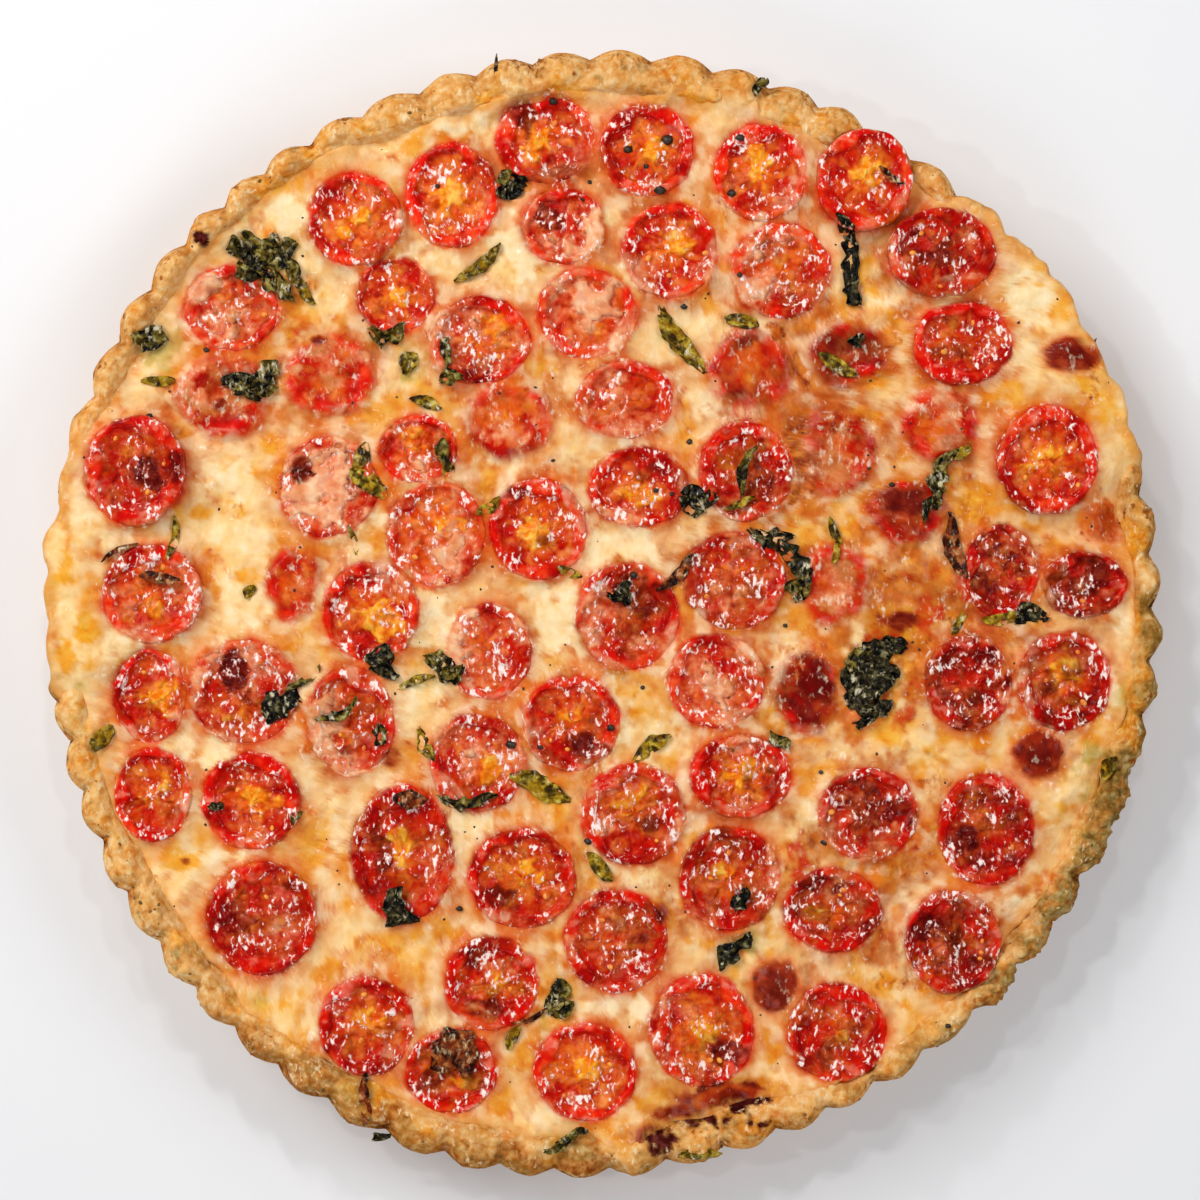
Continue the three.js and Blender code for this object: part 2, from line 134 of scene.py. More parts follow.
def over(paint: np.ndarray, colour: np.ndarray, share: np.ndarray) -> np.ndarray:
    """Lays a colour over a paint, as strongly as share says at each point."""
    return paint + (colour - paint) * np.clip(share, 0, 1)[..., None]


@dataclass(frozen=True)
class Patch:
    """A soft-edged oval seen in the photograph, in points of its frame; turn is in degrees."""

    column: float
    row: float
    wide: float
    tall: float
    strength: float = 1.0
    turn: float = 0.0

    @property
    def place(self) -> tuple[float, float]:
        """The patch's middle on the tart, in millimetres."""
        return (self.column - ORIGIN_COLUMN) * POINT, (ORIGIN_ROW - self.row) * POINT


def patches(*rows: tuple) -> tuple[Patch, ...]:
    """Makes a patch of each row of column, row, half width, half height and the rest."""
    return tuple(Patch(*row) for row in rows)


def cover(spots: tuple[Patch, ...], x: np.ndarray, y: np.ndarray, ragged: float = 0.3,
          seed: int = 3, grown: float = 1.0) -> np.ndarray:
    """Returns how strongly patches cover places.

    Args:
        spots: The patches.
        x: Places across the tart, in millimetres.
        y: Places up the tart, in millimetres.
        ragged: How far the noise moves a patch's edge, as a share of its width.
        seed: Picks the noise.
        grown: How many times their size the patches are taken.

    Returns:
        A value from 0 to 1 for each place.
    """
    wobble = ragged * noise(np.stack([x, y], -1), 3.2, seed, 3)
    best = np.zeros_like(x)
    for spot in spots:
        across, up = x - spot.place[0], y - spot.place[1]
        cosine, sine = math.cos(math.radians(spot.turn)), math.sin(math.radians(spot.turn))
        along = (across * cosine + up * sine) / (spot.wide * POINT * grown)
        beside = (up * cosine - across * sine) / (spot.tall * POINT * grown)
        away = np.hypot(along, beside) + wobble
        best = np.maximum(best, spot.strength * (1 - ramp(away, 0.45, 1.1)))
    return best


# What the photograph shows on the tart, patch by patch
HEARTS = patches(
    (358, 216, 15, 13), (346, 230, 9, 7), (455, 192, 17, 15), (535, 142, 15, 15), (648, 146, 17, 14),
    (762, 160, 17, 16), (870, 176, 20, 15), (680, 238, 16, 16), (765, 252, 18, 14, 0.4),
    (592, 330, 16, 14, 0.8), (492, 322, 18, 12, 0.8), (398, 290, 14, 16, 0.8), (216, 318, 18, 14, 0.7),
    (965, 335, 18, 16, 0.5), (128, 452, 8, 16, 0.7), (150, 605, 18, 12, 0.8), (166, 697, 18, 26),
    (158, 783, 12, 16, 0.7), (268, 655, 18, 16, 0.8), (232, 712, 16, 12, 0.7), (262, 797, 20, 16),
    (268, 925, 20, 18, 0.8), (388, 620, 26, 22), (450, 525, 16, 14), (330, 500, 16, 14, 0.7),
    (412, 440, 14, 12, 0.6), (500, 430, 14, 12, 0.5), (535, 533, 16, 16), (640, 495, 24, 14, 0.9),
    (728, 475, 16, 18, 0.8), (722, 560, 22, 10, 0.8), (485, 640, 14, 14, 0.6), (716, 700, 16, 10, 0.4),
    (572, 712, 16, 14, 0.7), (492, 770, 18, 22), (402, 848, 16, 24), (634, 800, 16, 18),
    (745, 770, 16, 18, 0.8), (530, 870, 18, 14), (640, 925, 20, 12, 0.3), (722, 875, 12, 14, 0.9),
    (495, 985, 12, 12), (368, 1018, 16, 14), (462, 1085, 20, 8), (590, 1066, 16, 16),
    (707, 1032, 16, 14), (842, 1036, 18, 9, 0.9, -30), (958, 940, 14, 22, 0.7), (815, 918, 12, 10, 0.7),
    (850, 820, 14, 10, 0.4), (990, 815, 12, 12), (1068, 668, 16, 18), (1072, 700, 6, 6),
    (985, 690, 18, 24, 0.6), (1072, 597, 9, 7), (1000, 578, 14, 14, 0.7), (1047, 455, 22, 13, 0.9, 20),
    (940, 440, 12, 14, 0.4), (840, 450, 14, 12, 0.5), (345, 735, 14, 12, 0.5), (220, 400, 12, 10, 0.4),
)
VEILS = patches(
    (182, 384, 22, 26, 0.7),
    (578, 152, 24, 30, 0.6), (595, 238, 26, 46, 0.9), (640, 270, 20, 16, 0.7), (700, 275, 16, 14, 0.6),
    (760, 285, 26, 18, 0.7), (748, 250, 14, 26, 0.6), (588, 300, 34, 30, 0.9), (620, 330, 18, 24, 0.9),
    (460, 315, 18, 18, 0.5), (520, 330, 14, 22, 0.6), (205, 288, 20, 16, 0.9), (225, 325, 26, 22, 0.6),
    (330, 355, 36, 34, 0.85), (220, 400, 32, 24, 0.7), (190, 695, 22, 44, 0.95), (165, 820, 14, 20, 0.4),
    (320, 720, 32, 30, 0.85), (345, 765, 30, 18, 0.6), (405, 590, 22, 22, 0.6), (455, 545, 30, 34, 0.8),
    (330, 480, 40, 44, 0.75), (410, 465, 20, 20, 0.85), (520, 425, 34, 24, 0.75), (500, 400, 18, 20, 0.4),
    (625, 518, 46, 16, 0.95), (838, 455, 34, 50, 0.6), (850, 480, 22, 30, 0.8), (722, 592, 20, 20, 0.75),
    (745, 540, 28, 14, 0.5), (595, 610, 20, 40, 0.6), (640, 648, 34, 12, 0.6), (452, 640, 30, 48, 1.0),
    (715, 690, 30, 28, 0.8), (745, 660, 18, 20, 0.6), (535, 730, 16, 20, 0.6), (470, 762, 12, 14, 0.8),
    (430, 860, 18, 34, 0.6), (600, 810, 20, 24, 0.6), (680, 820, 10, 24, 0.7), (730, 750, 22, 20, 0.6),
    (700, 850, 18, 16, 0.6), (765, 880, 22, 30, 0.7), (700, 915, 22, 16, 0.6), (600, 935, 30, 40, 0.7),
    (640, 900, 30, 16, 0.5), (500, 962, 24, 20, 0.8), (665, 1030, 16, 40, 0.6), (850, 905, 26, 26, 0.6),
    (835, 825, 22, 30, 0.7), (880, 845, 26, 22, 0.6), (960, 820, 20, 18, 0.5), (940, 690, 20, 44, 0.6),
    (1010, 690, 14, 26, 0.8), (1020, 545, 20, 18, 0.5), (985, 560, 12, 30, 0.6), (945, 430, 28, 44, 0.75),
    (905, 720, 30, 30, 0.7), (830, 585, 30, 34, 0.6), (800, 680, 14, 30, 0.4), (755, 365, 34, 36, 0.6),
    (980, 580, 12, 30, 0.5), (990, 345, 18, 26, 0.6), (970, 248, 16, 18, 0.5), (890, 265, 14, 20, 0.5),
    (300, 600, 22, 30, 0.9), (300, 650, 18, 16, 0.9), (1195, 600, 10, 10, 0.5), (905, 190, 12, 20, 0.5),
    (545, 240, 16, 10, 0.4), (375, 235, 18, 16, 0.5), (478, 200, 12, 22, 0.5), (855, 1010, 22, 10, 0.4),
)
DEEPS = patches(
    (520, 112, 18, 24, 0.7), (548, 220, 18, 18, 0.9), (472, 372, 20, 16, 0.9), (925, 250, 34, 24, 0.7),
    (172, 470, 12, 24, 1.0), (245, 690, 22, 14, 0.9), (320, 625, 10, 30, 0.5), (230, 925, 24, 16, 1.0),
    (378, 850, 18, 40, 0.8), (905, 495, 30, 18, 1.0), (655, 470, 28, 14, 0.6), (570, 485, 16, 12, 0.8),
    (512, 492, 16, 10, 0.7), (765, 490, 22, 30, 0.8), (655, 600, 30, 24, 0.7), (760, 590, 24, 26, 0.5),
    (810, 690, 18, 40, 0.9), (800, 660, 14, 20, 0.8), (590, 755, 24, 16, 0.8), (600, 720, 16, 24, 0.5),
    (735, 715, 14, 20, 0.6), (765, 780, 24, 16, 0.6), (650, 825, 24, 14, 0.7), (490, 895, 30, 18, 0.7),
    (490, 1008, 36, 12, 0.9), (470, 960, 18, 16, 0.6), (430, 1080, 20, 16, 0.7), (730, 1055, 24, 20, 0.8),
    (820, 1030, 20, 40, 0.5), (925, 930, 16, 34, 0.8), (965, 960, 22, 18, 0.5), (820, 885, 30, 14, 0.8),
    (890, 815, 26, 22, 0.9), (985, 850, 36, 24, 0.6), (1045, 700, 26, 20, 0.7), (1090, 640, 26, 26, 0.6),
    (1100, 580, 26, 18, 1.0), (1050, 585, 16, 12, 0.8), (1005, 552, 20, 14, 0.9), (970, 580, 22, 14, 0.9),
    (900, 640, 26, 16, 0.7), (905, 700, 26, 20, 0.5), (985, 655, 16, 12, 0.8), (1060, 430, 30, 14, 0.3),
    (960, 300, 24, 14, 0.5), (965, 345, 14, 24, 0.5), (870, 150, 30, 12, 0.3), (390, 1040, 20, 20, 0.4),
    (255, 872, 20, 10, 0.4), (225, 785, 14, 12, 0.6), (690, 1010, 20, 20, 0.3), (840, 345, 16, 14, 0.9),
    (545, 540, 20, 14, 0.4), (860, 525, 20, 14, 0.8), (800, 855, 14, 30, 0.6), (880, 930, 24, 18, 0.7),
    (840, 430, 16, 12, 0.8), (745, 340, 26, 10, 0.9, 35), (735, 395, 20, 10, 0.8), (640, 1145, 22, 9, 0.7),
    (1067, 686, 56, 56, 0.5), (870, 815, 54, 48, 0.55), (262, 925, 60, 50, 0.42), (615, 942, 52, 52, 0.4),
    (940, 252, 56, 44, 0.4), (990, 832, 48, 60, 0.45), (825, 912, 54, 48, 0.45), (952, 942, 50, 52, 0.5),
    (970, 684, 50, 52, 0.42), (1000, 572, 48, 54, 0.5), (1085, 588, 46, 36, 0.65), (838, 1035, 52, 48, 0.42),
    (490, 985, 46, 46, 0.35), (628, 618, 50, 54, 0.45), (735, 580, 54, 50, 0.45), (742, 470, 48, 54, 0.42),
    (572, 726, 50, 46, 0.38), (452, 1070, 44, 40, 0.5), (965, 340, 50, 50, 0.3), (1047, 462, 54, 54, 0.25),
    (140, 475, 50, 54, 0.3), (785, 270, 40, 40, 0.2), (705, 1030, 50, 54, 0.3), (806, 690, 30, 44, 0.7),
)
CHARS = patches(
    (150, 476, 23, 20), (232, 672, 18, 24), (300, 472, 12, 18, 0.7), (938, 259, 20, 13, 0.8),
    (583, 745, 17, 17), (622, 592, 12, 22, 0.9), (722, 1052, 14, 14, 0.7), (966, 840, 18, 20),
    (640, 940, 12, 9, 0.8), (662, 915, 10, 14, 0.8),
    (727, 1102, 50, 25), (686, 1116, 34, 12, 0.75), (655, 1140, 26, 14, 0.85), (205, 238, 13, 11),
    (880, 806, 10, 10, 0.6), (770, 480, 12, 16, 0.6), (235, 908, 12, 10, 0.4), (905, 500, 26, 19), (900, 622, 26, 14, 0.7),
    (318, 338, 12, 6, 0.7), (220, 404, 12, 10, 0.5), (345, 750, 12, 8, 0.6), (390, 760, 12, 12, 0.5),
    (292, 150, 9, 8, 0.5), (348, 115, 10, 6, 0.6), (218, 222, 8, 8, 0.5), (1100, 350, 5, 14, 0.5),
    (290, 885, 14, 10, 0.5), (985, 800, 10, 8, 0.4), (860, 930, 12, 10, 0.4),
)
GOLDS = patches(
    (88, 632, 16, 22), (68, 652, 14, 18, 0.9), (66, 575, 10, 26), (282, 1005, 26, 16), (326, 975, 20, 16),
    (530, 365, 36, 18, 0.8), (430, 930, 34, 16, 0.8), (512, 818, 22, 12, 0.9), (505, 1100, 14, 26, 0.8),
    (645, 706, 16, 14, 0.8), (700, 215, 20, 20, 0.7), (692, 112, 10, 18), (415, 140, 16, 16, 0.8),
    (365, 128, 18, 8, 0.7), (288, 180, 20, 16, 0.8), (258, 185, 8, 12), (820, 340, 26, 24, 0.8),
    (878, 330, 34, 24, 0.6), (990, 500, 34, 26, 0.7), (1005, 390, 34, 14, 0.9), (1036, 268, 10, 18, 0.9),
    (808, 775, 28, 24, 1.0), (872, 870, 36, 14, 0.9), (932, 770, 36, 14, 0.6), (885, 990, 34, 18, 0.9),
    (1052, 815, 22, 20, 0.7), (1075, 890, 16, 12, 0.8), (1030, 740, 24, 10, 0.8), (985, 505, 30, 18, 0.8),
    (488, 480, 14, 22, 0.8), (275, 470, 10, 10, 0.6), (265, 445, 10, 10, 0.7), (198, 515, 14, 14, 0.8),
    (195, 600, 8, 34, 0.9), (235, 510, 16, 12, 0.6), (250, 575, 12, 14, 0.8), (180, 865, 20, 20, 0.9),
    (155, 900, 12, 14, 0.6), (300, 870, 20, 30, 0.5), (345, 880, 14, 40, 0.4), (610, 672, 26, 8, 0.9),
    (620, 690, 18, 16, 0.6), (525, 555, 14, 10, 0.4), (690, 470, 14, 20, 0.8), (690, 430, 16, 26, 0.4),
    (780, 610, 26, 16, 0.6), (770, 710, 22, 26, 0.5), (800, 560, 18, 34, 0.5), (860, 560, 40, 30, 0.4),
    (960, 500, 20, 30, 0.8), (945, 380, 34, 14, 0.8), (870, 430, 20, 50, 0.5), (790, 330, 18, 20, 0.5),
    (870, 270, 14, 30, 0.8), (600, 270, 30, 10, 0.6), (800, 940, 30, 30, 0.4), (770, 920, 20, 26, 0.6),
    (700, 945, 24, 14, 0.6), (880, 850, 24, 16, 0.5), (785, 1045, 18, 26, 0.7), (780, 1090, 26, 14, 0.8),
    (660, 1105, 34, 14, 0.8), (620, 1130, 30, 14, 0.7), (750, 1125, 34, 10, 0.8), (980, 740, 60, 12, 0.5),
    (1065, 780, 10, 20, 0.5), (1085, 520, 10, 22, 0.8), (1140, 545, 14, 14, 0.8), (290, 300, 20, 14, 0.5),
    (250, 355, 26, 12, 0.8), (280, 330, 20, 20, 0.6), (205, 350, 20, 18, 0.7), (185, 430, 14, 20, 0.5),
    (360, 430, 14, 14, 0.5), (575, 200, 10, 14, 0.3), (730, 220, 12, 14, 0.7), (1100, 410, 8, 26, 0.6),
    (1080, 385, 14, 10, 0.8), (935, 1000, 20, 12, 0.5), (300, 1040, 14, 14, 0.5), (1060, 300, 8, 40, 0.6),
)
BROWNS = patches(
    (1112, 522, 28, 22, 0.9), (727, 1104, 46, 14, 0.5), (655, 1135, 40, 12, 0.5), (1094, 375, 8, 26, 0.7), (250, 290, 34, 12, 0.7),
    (292, 297, 8, 8, 0.7), (640, 915, 40, 34, 0.5), (880, 345, 22, 14, 0.7), (790, 300, 10, 16, 0.5),
    (182, 864, 9, 9, 0.9), (153, 877, 7, 6, 0.9), (885, 582, 12, 9, 0.6), (960, 450, 18, 34, 0.4),
    (800, 450, 30, 60, 0.6), (790, 370, 24, 24, 0.6), (905, 660, 40, 40, 0.5), (850, 640, 20, 20, 0.3),
    (960, 300, 10, 10, 0.3), (905, 850, 40, 30, 0.4), (860, 925, 40, 26, 0.6), (800, 870, 24, 40, 0.5),
    (900, 560, 60, 44, 0.35), (930, 640, 16, 16, 0.6), (780, 250, 20, 20, 0.5), (560, 170, 20, 14, 0.6),
    (532, 180, 16, 10, 0.7), (250, 447, 9, 9, 0.4), (240, 512, 14, 9, 0.4), (945, 790, 26, 20, 0.5),
    (895, 985, 22, 12, 0.6), (720, 840, 36, 18, 0.4), (610, 290, 10, 10, 0.3), (775, 330, 16, 12, 0.5),
    (720, 620, 20, 20, 0.3), (690, 560, 20, 12, 0.4), (955, 600, 26, 30, 0.6), (1020, 650, 20, 16, 0.4),
    (575, 400, 30, 12, 0.3), (260, 760, 20, 10, 0.3), (480, 330, 16, 16, 0.3), (285, 325, 10, 10, 0.5),
)
CREAMS = patches(
    (519, 243, 17, 24),
    (450, 120, 40, 14), (520, 245, 30, 34), (285, 212, 22, 26), (565, 620, 30, 50), (620, 548, 50, 26, 0.9),
    (640, 1008, 34, 18), (560, 1110, 36, 18, 0.8), (230, 480, 26, 34, 0.9), (250, 540, 40, 26, 0.8),
    (1025, 300, 30, 34), (1030, 355, 24, 20, 0.7), (1022, 910, 24, 20, 0.7), (430, 615, 30, 40, 0.9),
    (500, 450, 26, 30, 0.8), (675, 630, 10, 16, 0.5), (300, 265, 26, 14, 0.7), (330, 300, 22, 14, 0.6),
    (415, 1130, 20, 10, 0.2), (555, 590, 60, 12, 0.7), (610, 215, 14, 14, 0.7), (690, 175, 12, 30, 0.7),
    (700, 400, 20, 20, 0.7), (620, 385, 10, 10, 0.2), (750, 425, 10, 10, 0.2), (460, 590, 30, 14, 0.5),
    (300, 500, 14, 10, 0.3), (240, 600, 30, 40, 0.8), (180, 745, 20, 14, 0.8), (120, 650, 34, 16, 0.9),
    (120, 540, 30, 14, 0.8), (90, 510, 26, 34, 0.7), (70, 460, 14, 20, 0.7), (320, 690, 24, 22, 0.7),
    (480, 900, 20, 40, 0.2), (470, 820, 24, 30, 0.8), (415, 700, 30, 30, 0.8), (640, 880, 24, 14, 0.7),
    (560, 950, 40, 12, 0.6), (590, 1010, 20, 14, 0.8), (435, 1010, 14, 30, 0.6), (810, 820, 16, 34, 0.8),
    (790, 650, 20, 40, 0.6), (860, 640, 14, 34, 0.8), (1125, 620, 14, 30, 0.8), (1115, 690, 10, 40, 0.8),
    (1110, 470, 14, 20, 0.6), (1065, 530, 10, 20, 0.6), (810, 570, 12, 20, 0.6), (790, 1010, 14, 30, 0.5),
    (820, 1095, 24, 14, 0.8), (900, 950, 10, 34, 0.6), (340, 830, 14, 30, 0.6), (310, 780, 24, 12, 0.5),
    (210, 755, 20, 20, 0.9), (215, 860, 34, 8, 0.8), (310, 1020, 12, 24, 0.6), (345, 265, 20, 20, 0.6),
    (640, 745, 30, 24, 0.7), (690, 760, 12, 26, 0.7), (1060, 760, 12, 24, 0.6), (700, 320, 40, 20, 0.6),
    (430, 260, 30, 20, 0.7), (540, 70, 4, 4, 0.1), (880, 300, 26, 8, 0.6), (1045, 220, 20, 10, 0.4),
)
OLIVES = patches(
    (165, 345, 20, 22, 0.8), (147, 352, 20, 14, 0.8), (230, 215, 16, 10, 0.4), (480, 260, 12, 8, 0.5),
    (355, 395, 26, 20, 0.7), (410, 355, 26, 26, 0.7), (300, 245, 14, 18, 0.5), (80, 720, 12, 40, 0.4),
    (250, 850, 20, 20, 0.1), (190, 950, 24, 12, 0.6), (245, 1000, 20, 12, 0.5), (840, 365, 26, 10, 0.6),
    (440, 650, 26, 14, 0.3), (430, 680, 30, 10, 0.5), (740, 935, 20, 16, 0.5), (755, 945, 14, 14, 0.6),
    (545, 1030, 30, 14, 0.4), (360, 1090, 30, 14, 0.6), (1104, 780, 22, 46, 0.9), (1082, 855, 20, 36, 0.9), (1122, 700, 16, 34, 0.6),
    (830, 560, 20, 24, 0.4), (1020, 640, 20, 10, 0.3), (770, 740, 20, 20, 0.4), (665, 330, 24, 14, 0.4),
    (570, 1140, 40, 10, 0.5), (255, 380, 40, 22, 0.4), (320, 400, 40, 10, 0.3), (480, 505, 12, 12, 0.5),
)
# Where cheese and halves alike are darkened brown: partly a thin brown glaze, partly painted shade, most of it over
# the right of the top
GLAZE_AND_SHADE_PATCHES = patches(
    (905, 590, 90, 60, 0.4), (912, 612, 26, 22, 0.6), (900, 500, 40, 24, 0.5), (820, 400, 50, 80, 0.5), (880, 640, 50, 44, 0.5), (800, 300, 50, 30, 0.4),
    (800, 470, 30, 40, 0.4), (560, 175, 40, 26, 0.5), (250, 290, 50, 24, 0.5), (660, 915, 50, 30, 0.4),
    (870, 880, 80, 44, 0.4), (745, 395, 30, 40, 0.4), (700, 560, 40, 30, 0.2), (960, 600, 44, 44, 0.5),
    (870, 340, 40, 26, 0.5), (860, 930, 54, 44, 0.4), (740, 1105, 90, 26, 0.4), (1040, 755, 40, 34, 0.5),
    (780, 985, 40, 36, 0.5), (1066, 355, 34, 26, 0.5), (1112, 522, 30, 24, 0.4), (1020, 650, 40, 30, 0.4),
    (760, 690, 40, 30, 0.3), (330, 360, 44, 30, 0.25), (215, 400, 44, 30, 0.25), (960, 460, 34, 60, 0.4),
    (900, 760, 60, 20, 0.3), (820, 850, 40, 50, 0.35), (740, 500, 60, 60, 0.2), (910, 500, 34, 26, 0.5),
    (650, 1130, 40, 16, 0.5), (1100, 620, 40, 60, 0.25), (930, 700, 60, 40, 0.35), (300, 290, 24, 20, 0.4),
)
# Tomato skin and juice in the cheese, away from the halves
STAINS = patches(
    (905, 560, 44, 40, 0.3), (300, 400, 26, 16, 0.5), (345, 380, 20, 14, 0.5), (330, 335, 24, 12, 0.45),
    (190, 410, 14, 22, 0.5), (262, 345, 20, 12, 0.4), (745, 340, 34, 10, 0.8, 35), (930, 610, 24, 24, 0.6), (885, 640, 30, 14, 0.5),
    (970, 580, 16, 24, 0.7), (720, 730, 14, 20, 0.6), (585, 250, 12, 24, 0.4), (890, 930, 20, 16, 0.5),
    (800, 860, 16, 26, 0.6), (660, 910, 16, 12, 0.5), (380, 370, 12, 10, 0.4), (240, 270, 24, 12, 0.4),
    (745, 405, 12, 24, 0.8), (905, 712, 34, 30, 0.5), (300, 335, 16, 20, 0.4), (560, 185, 16, 14, 0.5),
)
# Where the oven browned the whole top more, or less
WARMS = patches(
    (880, 600, 190, 170), (800, 400, 110, 90, 0.85), (900, 870, 150, 110, 0.75), (700, 900, 110, 60, 0.6),
    (860, 330, 80, 60, 0.85), (640, 910, 60, 50, 0.6), (760, 690, 60, 60, 0.6), (560, 180, 40, 30, 0.6),
    (260, 310, 70, 50), (330, 370, 70, 56), (225, 400, 66, 40), (300, 440, 50, 30, 0.6), (320, 740, 60, 60, 0.5),
    (530, 390, 60, 50, 0.5), (430, 560, 40, 40, 0.4), (700, 250, 110, 50, 0.5), (600, 290, 60, 60, 0.4),
    (490, 340, 50, 40, 0.5), (700, 560, 60, 60, 0.6), (740, 1110, 90, 26, 0.6), (560, 490, 60, 40, 0.4),
    (600, 740, 80, 60, 0.4), (1000, 430, 50, 60, 0.5), (480, 950, 80, 50, 0.3), (290, 600, 30, 60, 0.4),
)


@dataclass(frozen=True)
class Wave:
    """A slow wave round the tart: how many times it comes, its height and its turn in radians."""

    times: int
    height: float
    turn: float


@dataclass(frozen=True)
class Stretch:
    """A stretch of the rim: its middle and half its width in degrees, and what it adds there."""

    at: float
    half: float
    extra: float


@dataclass(frozen=True)
class TartShape:
    """The rules by which the case and its filling are shaped, the same as the solids' own."""

    centre: tuple[float, float] = (-1.6, 0.3)
    rim_radius: float = 125.0
    rim_height: float = 25.2
    floor: float = 4.0
    rim_width: float = 4.6
    slope_width: float = 4.2
    slope_depth: float = 6.5
    wall_foot: float = 12.0
    flutes: int = 60
    flute_depth: float = 2.3
    first_flute: float = math.radians(4)
    lobes: tuple[Wave, ...] = (
        Wave(2, 0.53, math.radians(-138)), Wave(3, 0.95, math.radians(-20)),
        Wave(4, 0.49, math.radians(76)), Wave(6, 0.38, math.radians(-133)),
    )
    crags: tuple[Wave, ...] = (Wave(7, 0.5, 1.0), Wave(19, 0.35, 4.0))
    wide: tuple[Stretch, ...] = (Stretch(88, 34, 3.2), Stretch(262, 40, 2.6), Stretch(205, 24, 1.4))
    worn: tuple[Stretch, ...] = (Stretch(326, 26, 1.6), Stretch(12, 16, 1.2))
    spills: tuple[Stretch, ...] = (Stretch(174, 19, 1.0), Stretch(31, 21, 1.0))
    bared: tuple[Stretch, ...] = (
        Stretch(214, 14, 2.4), Stretch(248, 15, 1.6), Stretch(283, 8, 1.4), Stretch(330, 24, 2.0),
        Stretch(8, 12, 1.2), Stretch(148, 8, 1.0), Stretch(57, 9, 1.0), Stretch(120, 10, 0.8),
    )
    cheese_level: float = 21.6
    spill_thickness: float = 2.1

    def polar(self, x: np.ndarray, y: np.ndarray) -> tuple[np.ndarray, np.ndarray]:
        """Returns the direction and the distance of places from the tart's middle."""
        return (np.arctan2(y - self.centre[1], x - self.centre[0]),
                np.hypot(x - self.centre[0], y - self.centre[1]))

    def around(self, angle: np.ndarray, radius: np.ndarray) -> tuple[np.ndarray, np.ndarray]:
        """Returns the place in a direction and at a distance from the tart's middle."""
        return self.centre[0] + radius * np.cos(angle), self.centre[1] + radius * np.sin(angle)

    @staticmethod
    def along(stretches: tuple[Stretch, ...], angle: np.ndarray) -> np.ndarray:
        """Returns what stretches of the rim add in a direction."""
        total = np.zeros_like(angle)
        for part in stretches:
            away = np.abs((np.degrees(angle) - part.at + 180) % 360 - 180)
            total += part.extra * (1 - ramp(away, part.half * 0.6, part.half))
        return total

    @staticmethod
    def wander(waves: tuple[Wave, ...], angle: np.ndarray) -> np.ndarray:
        """Returns how far slow waves lead from a circle in a direction."""
        return sum(wave.height * np.cos(wave.times * angle + wave.turn) for wave in waves)

    def outline(self, angle: np.ndarray) -> np.ndarray:
        """Radius along the middle of the flutes."""
        return self.rim_radius + self.wander(self.lobes, angle)

    def flute(self, angle: np.ndarray) -> np.ndarray:
        """How far the flutes stand out or in, from 1 on a crest to 0 in a crease."""
        return np.abs(np.cos(self.flutes / 2 * (angle - self.first_flute)))

    def height(self, angle: np.ndarray) -> np.ndarray:
        """Height of the rim in a direction."""
        return self.rim_height + self.wander(self.crags, angle) - self.along(self.worn, angle)

    def crest(self, angle: np.ndarray) -> np.ndarray:
        """Radius at which the rim's flat top begins."""
        return self.outline(angle) - self.rim_width - self.along(self.wide, angle)

    def inner(self, angle: np.ndarray, height: np.ndarray) -> np.ndarray:
        """Radius of the case's inner face at a height."""
        crest = self.crest(angle)
        slope_foot = self.height(angle) - self.slope_depth
        on_slope = crest - self.slope_width * (self.height(angle) - height) / self.slope_depth
        foot = np.minimum(self.outline(angle) - self.wall_foot, crest) - self.slope_width
        share = (height - self.floor) / (slope_foot - self.floor)
        on_wall = foot + (crest - self.slope_width - foot) * share
        return np.where(height > slope_foot, on_slope, on_wall)

    def cheese(self, x: np.ndarray, y: np.ndarray) -> np.ndarray:
        """Height of the melted cheese before anything lies in it."""
        angle, radius = self.polar(x, y)
        swell = 0.5 * np.sin(x / 13) * np.cos(y / 17) + 0.3 * np.sin(x / 8) * np.cos(y / 9)
        level = self.cheese_level + swell + 0.7 * ramp(radius, 103, 115)
        spill = self.along(self.spills, angle) * ramp(radius, 84, self.rim_radius - self.rim_width)
        return blend(level, self.height(angle) + self.spill_thickness, spill)


TART = TartShape()


